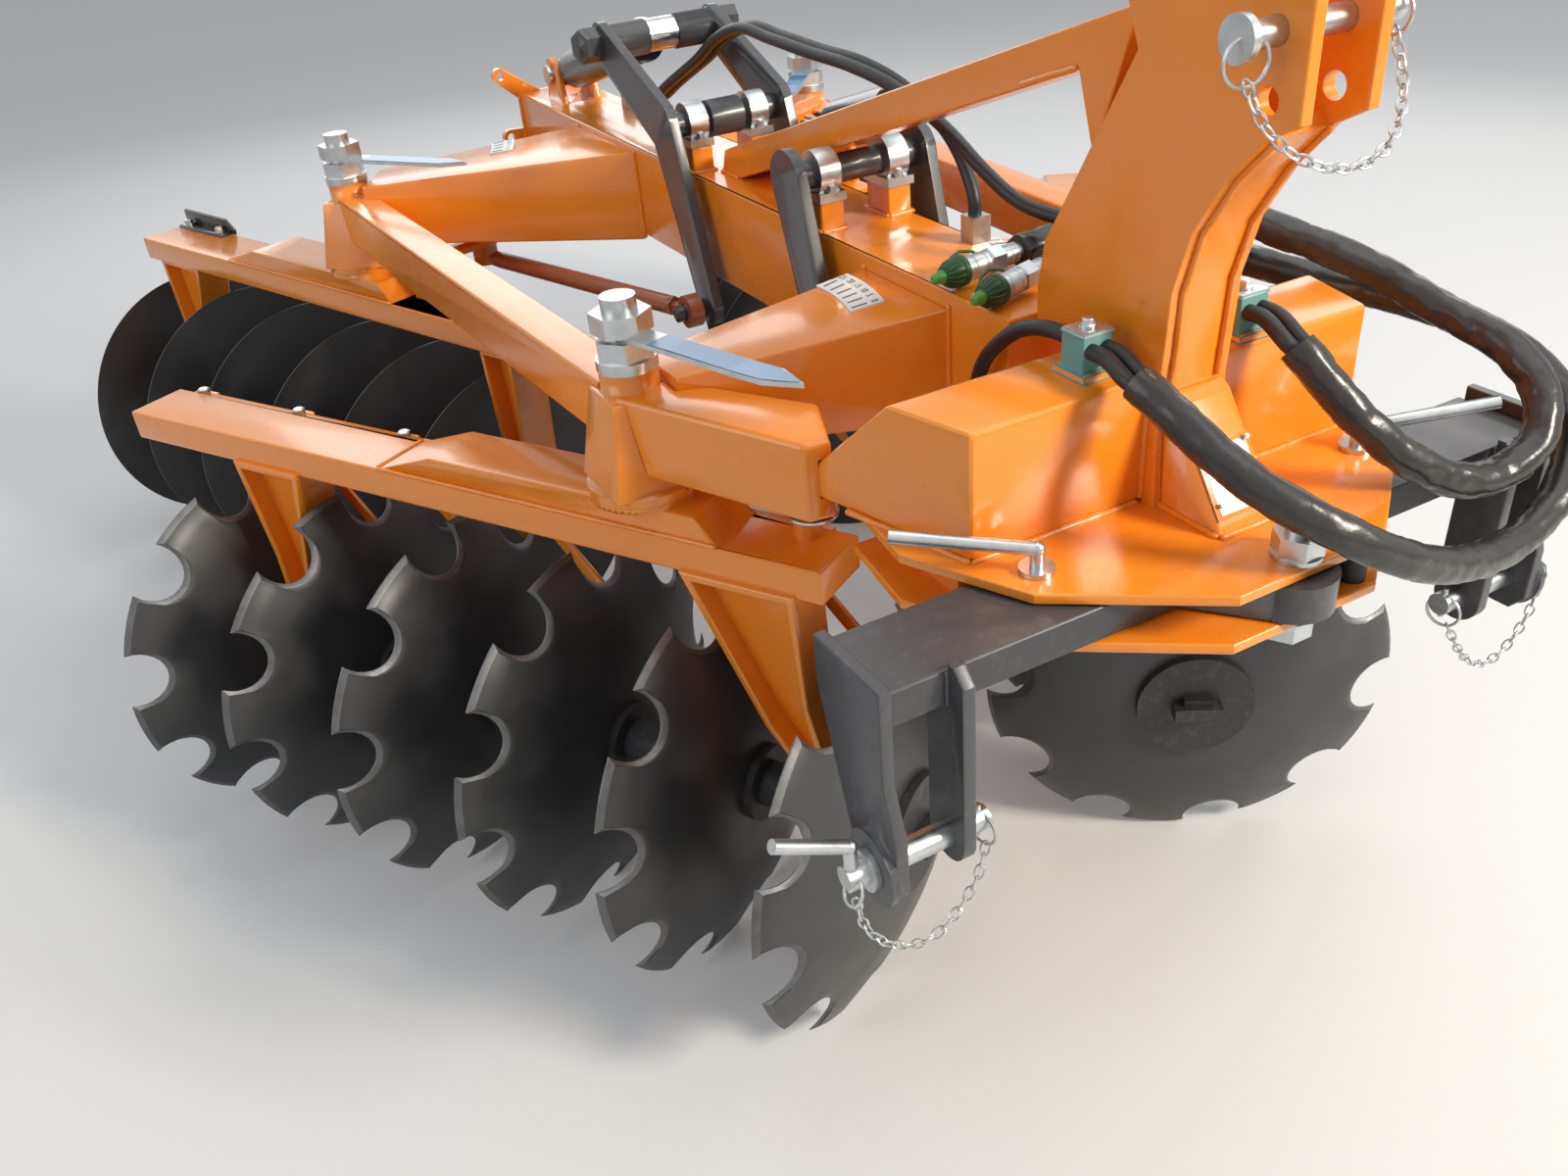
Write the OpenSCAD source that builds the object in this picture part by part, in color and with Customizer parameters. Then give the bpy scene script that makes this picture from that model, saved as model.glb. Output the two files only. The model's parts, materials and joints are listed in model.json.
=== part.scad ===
/* [Discs] */
// Radius of every disc blade, which is also the height of the gang axles
disc_r = 300; // [280:2:310]
// Thickness of a blade
disc_t = 6; // [4:0.5:8]
// Depth of the dish from rim to crown
dish_depth = 65; // [50:1:75]
// Distance between two blades along an axle
disc_pitch = 235; // [225:1:245]
// Blades on each gang
disc_count = 6; // [2:1:6]
// Radius of the flat crown of a blade
crown_r = 62; // [50:1:70]
// Number of notches round a front blade
notch_count = 10; // [8:1:12]
// Radius of a notch
notch_r = 45; // [35:1:48]
// Distance of a notch's centre inside the rim
notch_inset = 12; // [0:1:20]
// Diameter of the round axle where it runs in a bearing
axle_d = 50; // [40:1:55]
// Diameter of the spool bodies between the blades
spool_d = 66; // [60:1:80]
// Diameter of the spool flanges that clamp the blades
spool_flange_d = 112; // [90:1:120]
// Thickness of a spool flange
spool_flange_t = 12; // [8:1:16]
// Diameter of the big washer at the convex end of an axle
end_washer_d = 170; // [130:1:180]
// Thickness of the big washer
end_washer_t = 12; // [8:1:16]

/* [Front gangs] */
// Sideways distance of a front pivot from the middle
front_pivot_x = 430; // [420:1:450]
// Distance of the front pivots behind the hitch datum
front_pivot_y = 410; // [400:1:420]
// Sweep of the folded front gangs from straight across
front_sweep = 58.5; // [55:0.5:60]
// Rim plane of the innermost front blade, along the gang from its pivot
front_first_rim = -310; // [-315:1:-305]
// Front beam inboard of its pivot
front_beam_in = 285; // [270:1:290]
// Front beam outboard of its pivot
front_beam_out = 1025; // [1000:1:1040]
// Width of a front beam
front_beam_w = 100; // [90:1:110]

/* [Rear gangs] */
// Sideways distance of a rear pivot from the middle
rear_pivot_x = 512; // [505:1:530]
// Distance of the rear pivots behind the hitch datum
rear_pivot_y = 1634; // [1625:1:1650]
// Sweep of the folded rear gangs from straight across
rear_sweep = 67.5; // [65:0.5:70]
// Rim plane of the innermost rear blade, along the gang from its pivot
rear_first_rim = -375; // [-380:1:-370]
// Rear beam inboard of its pivot
rear_beam_in = 490; // [480:1:495]
// Rear beam outboard of its pivot
rear_beam_out = 838; // [830:1:900]
// Width of a rear beam
rear_beam_w = 120; // [110:1:125]

/* [Gang parts] */
// Offset of the axle outboard of the beam's middle
axle_perp = 20; // [10:1:30]
// Underside of the gang beams above the floor
beam_z = 653; // [645:1:665]
// Height of a gang beam
beam_h = 48; // [40:1:52]
// Top of the raised box on a gang beam
raised_z = 737; // [725:1:738]
// Thickness of the turning flange under a turret
flange_t = 8; // [6:1:10]
// Width of a hanger across the gang
hanger_w = 76; // [60:1:90]
// Wall of a hanger's rims
hanger_wall = 12; // [8:1:14]
// Outer diameter of a bearing housing
housing_d = 118; // [100:1:130]
// Length of a bearing housing
housing_len = 56; // [40:1:60]
// Width of the scraper strip behind a front beam
strip_w = 21; // [15:1:25]

/* [Pivots] */
// Diameter of a pivot stud
stud_d = 45; // [38:1:50]
// Top of a pivot stud
stud_top_z = 998; // [985:1:1010]
// Diameter of a turret's flange
turret_flange_d = 150; // [140:1:160]
// Side of a turret's square foot
turret_foot = 124; // [110:1:126]
// Side of a turret's square shoulder
turret_shoulder = 84; // [78:1:96]
// Top of the tapered part of a turret
turret_shoulder_z = 877; // [870:1:885]
// Top of a turret's neck
turret_neck_z = 907; // [900:1:912]
// Diameter of a turret's neck
turret_neck_d = 75; // [70:1:80]
// Hexagon size of the pivot nuts across flats
nut_af = 68; // [60:1:75]
// Length of an angle pointer from its stud
pointer_len = 293; // [280:1:296]
// Width of an angle pointer
pointer_w = 38; // [30:1:44]
// Thickness of an angle pointer
pointer_t = 6; // [4:1:8]

/* [Main frame] */
// Width of the main beam
main_w = 150; // [140:1:156]
// Underside of the main beam
main_z0 = 805; // [800:1:812]
// Top of the main beam
main_z1 = 965; // [955:1:975]
// Rear end of the main beam behind the hitch datum
main_rear_y = 1860; // [1820:1:1900]
// Wall of the main beam
main_wall = 8; // [6:0.5:12]
// Height of the arms' tops at the turrets
front_arm_top = 880; // [870:1:884]
// Height of the rear arms' tops at the turrets
rear_arm_top = 900; // [890:1:905]
// Underside of the arms
arm_z0 = 796; // [792:1:800]
// Width of an arm at its turret
arm_end_w = 104; // [90:1:112]
// Width of a side tube
side_tube_w = 65; // [55:1:72]
// Thickness of a scale plate
scale_t = 2; // [1:0.5:3]

/* [Headstock] */
// Top of the cross body
body_z1 = 957; // [950:1:962]
// Underside of the upper plate
upper_z = 799; // [797:1:802]
// Underside of the lower plate
lower_z = 742; // [738:1:744]
// Thickness of both plates
plate_t = 12; // [10:1:12]
// Underside of the crossbar
crossbar_z = 756; // [755:1:760]
// Height of the crossbar
crossbar_h = 41; // [38:1:42]
// Half length of the crossbar
crossbar_half = 452; // [440:1:460]
// Thickness of the lower link plates
link_plate_t = 15; // [12:1:18]
// Inner face of the inner ears from the middle
ear_x = 370; // [360:1:380]
// Diameter of the lower link pins
link_pin_d = 28; // [26:0.1:30]
// Height of the lower link pins above the floor
link_pin_z = 591; // [585:1:600]
// Forward distance of the lower link pins from the hitch datum
link_pin_y = 208; // [204:1:212]
// Outer faces of the mast plates from the middle
mast_half = 47; // [44:1:55]
// Thickness of the mast plates
mast_plate_t = 15; // [12:1:16]
// Diameter of the top link holes
top_link_d = 25.5; // [22:0.1:28]
// Height of the free top link hole
top_hole_z = 1244; // [1240:1:1250]
// Height of the top link pin
top_pin_z = 1300; // [1296:1:1304]
// Distance of the top link holes ahead of the hitch datum
top_hole_y = 203; // [200:1:206]
// Half width of the brace
brace_half = 31.6; // [25:0.1:31.6]

/* [Rockers] */
// Height of both rocker shafts
rocker_z = 1040; // [1036:1:1044]
// Distance of the front rocker behind the hitch datum
front_rocker_y = 567; // [560:1:572]
// Distance of the rear rocker behind the hitch datum
rear_rocker_y = 988; // [984:1:992]
// Diameter of a rocker shaft
rocker_shaft_d = 40; // [36:1:44]
// Inner face of a lever from the middle
lever_x = 96; // [92:1:100]
// Thickness of a lever
lever_t = 16; // [12:1:18]
// Middle of the tie rod balls from the middle of the machine
ball_x = 140; // [138:1:144]
// Length of the front levers from shaft to ball
front_lever = 275; // [270:1:278]
// Length of the rear levers from shaft to ball
rear_lever = 290; // [286:1:292]
// Forward lean of the folded front levers
front_lean = 18; // [16:0.5:20]
// Forward lean of the folded rear levers
rear_lean = 21.5; // [20:0.5:23]
// Rear cross tube behind the rear shaft
yoke_y = 225; // [220:1:230]
// Rear cross tube above the rear shaft
yoke_z = 103; // [100:1:106]
// Diameter of the pins at the cylinders
cyl_pin_d = 25; // [22:1:28]
// Diameter of a cylinder's barrel
barrel_d = 76; // [66:1:80]
// Diameter of a cylinder's rod
rod_d = 35; // [30:1:40]
// Diameter of a tie rod
tie_d = 32; // [26:1:34]
// Diameter of the balls in the tie rods' eyes
ball_d = 34; // [30:1:36]

/* [Clearances] */
// Radial clearance of a running fit
run_fit = 0.1; // [0.05:0.05:0.1]
// Gap between pieces that seat on each other
seat = 0.3; // [0.2:0.1:0.4]
// Gap at the turning flanges
turn_gap = 0.5; // [0.4:0.1:0.8]

/* [Hidden] */
$fn = 48;
eps = 0.01;
// The hitch datum lies this far ahead of the machine's middle
mid_y = 1090;
axle_z = disc_r;
flange_top = raised_z + flange_t;
turret_z0 = flange_top + turn_gap;
body_front_y = -90;
body_rear_y = 110;
body_z0 = upper_z + plate_t;
mast_front_y = -111;
crossbar_top = crossbar_z + crossbar_h;
crossbar_front_y = -212;
crossbar_rear_y = -100;
centre_bolt_y = -265;
lock_pin_x = 225;
lock_pin_y = -140;
brace_foot = [877, 940];
lug_y = 1712;
lug_z = 1018;
// Tie rod eyes on the gangs: along the gang, across it, and height of the eye
front_eye = [-225, -27, 750];
rear_eye = [-172, -160, 735];
// Radius of the eyes' housings, and where the tie rods end short of them
eye_r = 25;
tie_gap = 31;
front_ball = [-ball_x, front_rocker_y - front_lever * sin(front_lean),
    rocker_z - front_lever * cos(front_lean)];
rear_ball = [-ball_x, rear_rocker_y - rear_lever * sin(rear_lean),
    rocker_z - rear_lever * cos(rear_lean)];
yoke = [0, rear_rocker_y + yoke_y, rocker_z + yoke_z];
// The front cylinder stands on the left, beside the beam
front_cyl_x = 150;
front_cyl_eye = [front_cyl_x, front_rocker_y + 67, rocker_z + 44];
front_cyl_foot = [front_cyl_x, 900, 1010];

// Colours
orange = "darkorange";
zinc = "silver";
black = "dimgray";
blade = "darkslategray";

// Places everything from the hitch datum to the middle of the machine
module at_mid() {
    translate([0, -mid_y, 0]) children();
}

// A piece and its mirror image on the other side
module both() {
    children();
    mirror([1, 0, 0]) children();
}

// Side elevation drawn as points of y and z, extruded across x about the middle
module side_profile(points, width) {
    rotate([90, 0, 90]) linear_extrude(height = width, center = true) polygon(points);
}

// A round bar along x
module bar_x(x0, x1, d) {
    translate([x0, 0, 0]) rotate([0, 90, 0]) cylinder(d = d, h = x1 - x0);
}

// The frame of a gang: x outboard along it, y away from the machine, origin at the pivot on the floor
module gang_frame(pivot_x, pivot_y, sweep) {
    translate([-pivot_x, pivot_y, 0]) rotate([0, 0, 180 - sweep]) children();
}

module front_frame() {
    at_mid() gang_frame(front_pivot_x, front_pivot_y, front_sweep) children();
}

module rear_frame() {
    at_mid() gang_frame(rear_pivot_x, rear_pivot_y, rear_sweep) children();
}

// Blade of revolution about x: rim plane at 0, crown towards negative x
module blade_form() {
    steps = 5;
    back = [for (i = [0:steps]) let (r = crown_r + (disc_r - crown_r) * i / steps)
        [r, -dish_depth * (1 - pow((r - crown_r) / (disc_r - crown_r), 2))]];
    front = [for (i = [0:steps]) let (r = back[steps - i][0], edge = (i == 0) ? 2 : disc_t)
        [r, back[steps - i][1] - edge]];
    bore_r = axle_d / 2 + 1;
    rotate([0, 90, 0]) rotate_extrude($fn = 72)
        polygon(concat([[bore_r, -dish_depth]], back, front, [[bore_r, -dish_depth - disc_t]]));
}

module notched_blade(phase) {
    difference() {
        blade_form();
        for (i = [0:notch_count - 1])
            rotate([phase + (i + 0.5) * 360 / notch_count, 0, 0])
                translate([-dish_depth / 2, 0, -disc_r + notch_inset])
                    rotate([0, 90, 0]) cylinder(r = notch_r, h = 2 * dish_depth, center = true);
    }
}

// Phase of the notches of each front blade about its axle
notch_phase = [-5, 13, -5, 13, -5, 13];

module front_discs() {
    color(blade) front_frame() translate([front_first_rim, axle_perp, axle_z])
        for (i = [0:disc_count - 1]) translate([i * disc_pitch, 0, 0]) notched_blade(notch_phase[i]);
}

module rear_discs() {
    color(blade) rear_frame() translate([rear_first_rim, axle_perp, axle_z])
        for (i = [0:disc_count - 1]) translate([i * disc_pitch, 0, 0]) mirror([1, 0, 0]) blade_form();
}

// Spool between two blades, from x0 to x1, with its end flanges
module spool(x0, x1) {
    bar_x(x0, x1, spool_d);
    bar_x(x0, x0 + spool_flange_t, spool_flange_d);
    bar_x(x1 - spool_flange_t, x1, spool_flange_d);
}

// Spool that is split at a bearing whose middle lies at xb
module split_spool(x0, x1, xb) {
    gap = housing_len / 2 + 3;
    bar_x(x0, xb - gap, spool_d);
    bar_x(x0, x0 + spool_flange_t, spool_flange_d);
    bar_x(xb - gap - 8, xb - gap, spool_d + 14);
    bar_x(xb + gap, x1, spool_d);
    bar_x(xb + gap, xb + gap + 8, spool_d + 14);
    bar_x(x1 - spool_flange_t, x1, spool_flange_d);
}

// Square bolt head in the middle of a big washer
module axle_head(side) {
    mirror([side < 0 ? 1 : 0, 0, 0]) {
        bar_x(0, end_washer_t, end_washer_d);
        translate([end_washer_t, -20, -20]) cube([14, 40, 40]);
        translate([end_washer_t, -34, -11]) cube([24, 68, 22]);
    }
}

// Middle of the bearings along each gang
front_bearings = [front_first_rim + 45, front_first_rim + 4.5 * disc_pitch - 26];
rear_bearings = [rear_first_rim - 55, rear_first_rim + 4.5 * disc_pitch + 55];

module front_axle() {
    crown = front_first_rim - dish_depth;
    color(black) front_frame() translate([0, axle_perp, axle_z]) {
        bar_x(crown - disc_t - 2, crown + (disc_count - 1) * disc_pitch + 46, axle_d);
        split_spool(crown, crown + disc_pitch - disc_t, front_bearings[0]);
        for (i = [1:disc_count - 3]) spool(crown + i * disc_pitch, crown + (i + 1) * disc_pitch - disc_t);
        if (disc_count > 2) let (x = crown + (disc_count - 2) * disc_pitch)
            split_spool(x, x + disc_pitch - disc_t, front_bearings[1]);
        translate([crown - disc_t, 0, 0]) axle_head(-1);
        translate([crown + (disc_count - 1) * disc_pitch, 0, 0]) {
            bar_x(0, spool_flange_t, spool_flange_d);
            rotate([0, 90, 0]) cylinder(d = 75, h = 38, $fn = 6);
        }
    }
}

module rear_axle() {
    crown = rear_first_rim + dish_depth;
    last = crown + (disc_count - 1) * disc_pitch;
    gap = housing_len / 2 + 3;
    color(black) rear_frame() translate([0, axle_perp, axle_z]) {
        bar_x(rear_bearings[0] - gap - 20, last + disc_t + 2, axle_d);
        bar_x(rear_bearings[0] + gap, crown, spool_d);
        bar_x(crown - spool_flange_t, crown, spool_flange_d);
        translate([rear_bearings[0] - gap - 20, 0, 0]) rotate([0, 90, 0]) cylinder(d = 75, h = 20, $fn = 6);
        for (i = [0:disc_count - 3]) spool(crown + i * disc_pitch + disc_t, crown + (i + 1) * disc_pitch);
        split_spool(last - disc_pitch + disc_t, last, rear_bearings[1]);
        translate([last + disc_t, 0, 0]) axle_head(1);
    }
}

// Hanger: a curved bracket with a web and rims, drawn as along and height, that ends in a housing
module hanger(outline, bearing_x) {
    half = housing_len / 2;
    translate([0, axle_perp, 0]) difference() {
        union() {
            rotate([90, 0, 0]) linear_extrude(height = hanger_w, center = true) polygon(outline);
            translate([bearing_x, 0, axle_z]) bar_x(-half, half, housing_d);
        }
        for (side = [-1, 1]) translate([0, side * (hanger_w / 2 + hanger_wall / 2), 0]) rotate([90, 0, 0])
            linear_extrude(height = hanger_w, center = true) difference() {
                offset(delta = -hanger_wall) polygon(outline);
                translate([bearing_x, axle_z]) square([housing_len + 30, housing_d + 24], center = true);
            }
        translate([bearing_x, 0, axle_z]) bar_x(-2 * half, 2 * half, axle_d + 2 * run_fit);
    }
}

// Beam with closed ends and the raised box that carries the turning flange
module gang_beam(len_in, len_out, width, box_in, box_out) {
    translate([-len_in, -width / 2, beam_z]) cube([len_in + len_out, width, beam_h]);
    translate([0, 0, beam_z + beam_h - eps]) rotate([90, 0, 0])
        linear_extrude(height = width - 4, center = true)
            polygon([[-box_in, 0], [box_out, 0], [box_out - 110, raised_z - beam_z - beam_h],
                [30 - box_in, raised_z - beam_z - beam_h]]);
    translate([0, 0, raised_z - eps]) cylinder(d = turret_flange_d, h = flange_t + eps);
}

module front_gang() {
    top = beam_z + 5;
    b0 = front_bearings[0];
    b1 = front_bearings[1];
    ground = axle_z - 20;
    color(orange) front_frame() {
        gang_beam(front_beam_in, front_beam_out, front_beam_w, 135, 455);
        translate([front_eye[0], front_eye[1], 0]) {
            translate([0, 0, beam_z + beam_h - eps]) cylinder(d = 36, h = 40);
            translate([0, 0, front_eye[2] - 12]) cylinder(d = 2 * eye_r, h = 24);
            translate([0, 0, front_eye[2] + 12 - eps]) cylinder(d = 42, h = 8);
        }
        translate([-240, -front_beam_w / 2 - strip_w, beam_z + 10]) cube([1250, strip_w + eps, 28]);
        hanger([[b0 + 20, top], [b0 + 190, top], [b0 + 80, axle_z + 140], [b0 + 27, axle_z + 75],
            [b0 + 27, ground], [b0 - 27, ground], [b0 - 27, axle_z + 50], [b0 + 10, axle_z + 190]], b0);
        hanger([[b1 - 85, top], [b1 + 60, top], [b1 + 32, axle_z + 190], [b1 + 27, ground],
            [b1 - 27, ground], [b1 - 27, axle_z + 50], [b1 - 40, axle_z + 170]], b1);
        for (i = [0:disc_count - 1]) let (x = front_first_rim + i * disc_pitch)
            scraper(x + 113, -front_beam_w / 2 - strip_w, x - 38);
    }
}

// Scraper: a flat shank from the beam down to a tip that cleans the hollow side of a blade
module scraper(x_top, y, x_tip) {
    shank_w = 30;
    x0 = x_top - shank_w / 2;
    x1 = x_top + shank_w / 2;
    tip_z = axle_z + 150;
    mid_z = beam_z - 55;
    top_z = beam_z + 38;
    translate([0, y, 0]) rotate([90, 0, 0]) linear_extrude(height = 8)
        polygon([[x0, top_z], [x1, top_z], [x1, mid_z], [x_tip + shank_w, tip_z], [x_tip, tip_z], [x0, mid_z]]);
}

module rear_gang() {
    top = beam_z + 5;
    b0 = rear_bearings[0];
    b1 = rear_bearings[1];
    ground = axle_z - 20;
    color(orange) rear_frame() {
        gang_beam(rear_beam_in, rear_beam_out, rear_beam_w, 135, 455);
        // Lug that reaches over the eye of the tie rod
        beam_top = beam_z + beam_h - rear_eye[2];
        translate(rear_eye) {
            translate([0, 0, -12]) cylinder(d = 2 * eye_r, h = 38);
            translate([0, 0, 26 - eps]) cylinder(d = 56, h = 12);
            translate([-22, 0, 26 - eps]) cube([44, 170, 12]);
            translate([0, 0, 38 - 2 * eps]) cylinder(d = 34, h = 14, $fn = 6);
            translate([-22, 108, beam_top - eps]) cube([44, 62, 26 - beam_top]);
        }
        hanger([[b0 - 45, top], [b0 + 45, top], [b0 + 27, axle_z + 75], [b0 + 27, ground], [b0 - 27, ground],
            [b0 - 27, axle_z + 75]], b0);
        hanger([[b1 - 120, top], [b1 + 50, top], [b1 + 40, axle_z + 170], [b1 + 27, axle_z + 75],
            [b1 + 27, ground], [b1 - 27, ground], [b1 - 27, axle_z + 60], [b1 - 50, axle_z + 190]], b1);
    }
}

// Stud, washers, two hexagon nuts and the bent pointer above a turret
module pivot(pointer_angle, tip_drop) {
    washer_z = turret_neck_z + seat;
    washer_t = 14;
    nut_h = 26;
    bar_z = washer_z + washer_t + nut_h;
    neck_x = pointer_len - 46;
    color(zinc) {
        translate([0, 0, flange_top]) cylinder(d = stud_d, h = stud_top_z - flange_top);
        translate([0, 0, washer_z]) cylinder(d = turret_neck_d + 3, h = washer_t);
        translate([0, 0, washer_z + washer_t]) rotate(11) cylinder(d = nut_af / cos(30), h = nut_h, $fn = 6);
        translate([0, 0, bar_z + pointer_t]) rotate(38) cylinder(d = nut_af / cos(30), h = nut_h, $fn = 6);
        rotate(pointer_angle) rotate([90, 0, 0]) translate([0, bar_z, 0]) {
            linear_extrude(height = pointer_w, center = true)
                polygon([[0, 0], [0, pointer_t], [90, pointer_t], [200, pointer_t - tip_drop],
                    [neck_x + 1, pointer_t - tip_drop], [neck_x + 1, -tip_drop], [200, -tip_drop], [90, 0]]);
            translate([0, -tip_drop, 0]) rotate([-90, 0, 0]) linear_extrude(height = pointer_t)
                polygon([[neck_x, -pointer_w / 2], [pointer_len, 0], [neck_x, pointer_w / 2]]);
        }
    }
}

module front_pivot() {
    at_mid() translate([-front_pivot_x, front_pivot_y, 0]) pivot(-70, 3);
}

module rear_pivot() {
    at_mid() translate([-rear_pivot_x, rear_pivot_y, 0]) pivot(-52, 1);
}

// Outside of a turret, grown by a gap where others are cut to it
module turret_form(grow) {
    height = turret_shoulder_z - turret_z0 - 10 + grow;
    foot = turret_foot + 2 * grow;
    taper = (turret_shoulder + 2 * grow) / foot;
    neck_h = turret_neck_z - turret_shoulder_z;
    translate([0, 0, turret_z0 + 10 - grow]) linear_extrude(height = height, scale = taper)
        square(foot, center = true);
    translate([0, 0, turret_z0 - grow]) cylinder(d = turret_flange_d + 2 * grow, h = 12 + 2 * grow);
    translate([0, 0, turret_shoulder_z - eps]) cylinder(d = turret_neck_d + 2 * grow, h = neck_h);
}

// Pivot places in plan and the turn of their turrets
pivots = [[-front_pivot_x, front_pivot_y, 0], [-rear_pivot_x, rear_pivot_y, -35]];

module turret_envelope(grow) {
    for (p = pivots) translate([p[0], p[1], 0]) rotate(p[2]) turret_form(grow);
}

module turrets() {
    color(orange) at_mid() both() for (p = pivots) translate([p[0], p[1], 0]) difference() {
        rotate(p[2]) turret_form(0);
        translate([0, 0, turret_z0 - 1]) cylinder(d = stud_d + 2 * run_fit, h = 200);
    }
}

// Solid under a sloping top: plan in x and y, top heights at the two x stations
module arm_form(plan, x_root, z_root, x_end, z_end, z0) {
    intersection() {
        translate([0, 0, z0]) linear_extrude(height = 300) polygon(plan);
        translate([0, 2400, 0]) rotate([90, 0, 0]) linear_extrude(height = 2800)
            polygon([[x_root + 50, z0], [x_root + 50, z_root], [x_end - 50, z_end], [x_end - 50, z0]]);
    }
}

arm_face = -main_w / 2 - seat;
front_arm_plan = [[arm_face, 228], [arm_face, 425], [40 - front_pivot_x, front_pivot_y + arm_end_w / 2],
    [40 - front_pivot_x, front_pivot_y - arm_end_w / 2]];
rear_arm_end = [40 - rear_pivot_x, rear_pivot_y - 28];
rear_arm_side = arm_end_w / 2 * [0.571, 0.821];
rear_arm_plan = [[arm_face, 1213], [arm_face, 1500],
    rear_arm_end + rear_arm_side, rear_arm_end - rear_arm_side];

module front_arm_form() {
    arm_form(front_arm_plan, arm_face, 953, -front_pivot_x, front_arm_top, arm_z0);
}

module rear_arm_form() {
    arm_form(rear_arm_plan, arm_face, 962, -rear_pivot_x, rear_arm_top, arm_z0);
}

module arms() {
    color(orange) at_mid() both() difference() {
        union() {
            front_arm_form();
            rear_arm_form();
        }
        turret_envelope(seat);
    }
}

// Arc shaped plates on the tops of the arms, under the pointers
module scale_plates() {
    color("white") at_mid() both() {
        scale_plate(front_pivot_x, front_pivot_y, -17, 18) front_arm_form();
        scale_plate(rear_pivot_x, rear_pivot_y, -28, 7) rear_arm_form();
    }
}

module scale_plate(px, py, a0, a1) {
    n = 12;
    inner = [for (i = [0:n]) let (a = a0 + (a1 - a0) * i / n) 285 * [cos(a), sin(a)]];
    outer = [for (i = [0:n]) let (a = a1 + (a0 - a1) * i / n) 330 * [cos(a), sin(a)]];
    difference() {
        intersection() {
            translate([-px, py, arm_z0]) linear_extrude(height = 300) polygon(concat(inner, outer));
            translate([0, 0, scale_t]) children();
        }
        children();
    }
}

// Side tubes from rear to front turrets, and the stubs from the front turrets to the cross body
module side_tubes() {
    run = [rear_pivot_x - front_pivot_x, front_pivot_y - rear_pivot_y];
    color(orange) at_mid() both() difference() {
        union() {
            translate([-rear_pivot_x, rear_pivot_y, arm_z0 + 4]) rotate(atan2(run[1], run[0]))
                translate([30, -side_tube_w / 2, 0]) cube([norm(run) - 60, side_tube_w, 85]);
            translate([0, 0, 782]) linear_extrude(height = 100)
                polygon([[-463, 380], [-385, 392], [-272, 214], [-310, 120], [-342, 124]]);
        }
        turret_envelope(seat);
        for (plan = [front_arm_plan, rear_arm_plan])
            translate([0, 0, arm_z0 - 50]) linear_extrude(height = 300) offset(delta = seat) polygon(plan);
        cross_body_form(seat);
        translate([0, 0, 700]) linear_extrude(height = upper_z + plate_t + seat - 700) plate_outline(seat);
    }
}

module cross_body_form(grow) {
    tip = [340, 174];
    front = body_front_y - grow;
    rear = tip[1] + 1.1 * grow;
    intersection() {
        translate([0, 0, body_z0]) linear_extrude(height = body_z1 - body_z0 + grow) offset(delta = grow)
            polygon([[-270, body_front_y], [270, body_front_y], tip, [262, 174], [180, body_rear_y],
                [-180, body_rear_y], [-262, 174], [-tip[0], tip[1]]]);
        side_profile([[front, body_z0], [front, body_z1 + grow], [20, body_z1 + grow],
            [rear, body_z0 + grow], [rear, body_z0]], 800);
    }
}

module cross_body() {
    color(orange) at_mid() cross_body_form(0);
}

// Plan of the two headstock plates
module plate_outline(grow) {
    offset(delta = grow) polygon([[-98, -289], [98, -289], [254, -173], [320, -30], [300, 100],
        [-300, 100], [-320, -30], [-254, -173]]);
}

module headstock_plate(z) {
    difference() {
        translate([0, 0, z]) linear_extrude(height = plate_t) plate_outline(0);
        translate([0, centre_bolt_y, z - 1]) cylinder(d = 30.4, h = plate_t + 2);
        for (x = [-lock_pin_x, lock_pin_x]) translate([x, lock_pin_y, z - 1]) cylinder(d = 22.4, h = plate_t + 2);
    }
}

module upper_plate() {
    color(orange) at_mid() headstock_plate(upper_z);
}

module lower_plate() {
    web_z = lower_z + plate_t - eps;
    color(orange) at_mid() {
        headstock_plate(lower_z);
        for (side = [-1, 1]) translate([side * 260 - 6, -60, web_z]) cube([12, 150, upper_z - web_z]);
        translate([-266, 78, web_z]) cube([532, 12, upper_z - web_z]);
    }
}

module main_beam() {
    front = body_rear_y;
    inner = main_w - 2 * main_wall;
    color(orange) at_mid() {
        difference() {
            translate([-main_w / 2, front, main_z0]) cube([main_w, main_rear_y - front, main_z1 - main_z0]);
            translate([-inner / 2, front + main_wall, main_z0 + main_wall])
                cube([inner, main_rear_y - front, main_z1 - main_z0 - 2 * main_wall]);
        }
        // Posts under the rocker bearings
        for (y = [front_rocker_y, rear_rocker_y], side = [-1, 1])
            translate([side * 55 - 19, y - 30, main_z1 - eps]) cube([38, 60, 41]);
        // Ears of the rear cylinder
        for (side = [-1, 1]) translate([side * 36, lug_y, 0]) difference() {
            side_profile([[-45, main_z1 - eps], [45, main_z1 - eps], [24, lug_z + 24], [0, lug_z + 32],
                [-24, lug_z + 24]], 14);
            translate([-10, 0, lug_z]) bar_x(0, 20, cyl_pin_d + 2 * run_fit);
        }
        // Bracket of the front cylinder on the left side
        translate([0, front_cyl_foot[1], 0]) {
            difference() {
                for (x = [front_cyl_x - 32, front_cyl_x + 20]) translate([x + 6, 0, 0])
                    side_profile([[-40, 925], [40, 925], [26, 1030], [-26, 1030]], 12);
                translate([front_cyl_x - 60, 0, front_cyl_foot[2]]) bar_x(0, 120, cyl_pin_d + 2 * run_fit);
            }
            translate([main_w / 2 - eps, -80, 913]) cube([front_cyl_x + 32 - main_w / 2, 70, 12 + eps]);
            translate([front_cyl_x - 32, -40, 913]) cube([64, 80, 12 + eps]);
        }
    }
}

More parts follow.
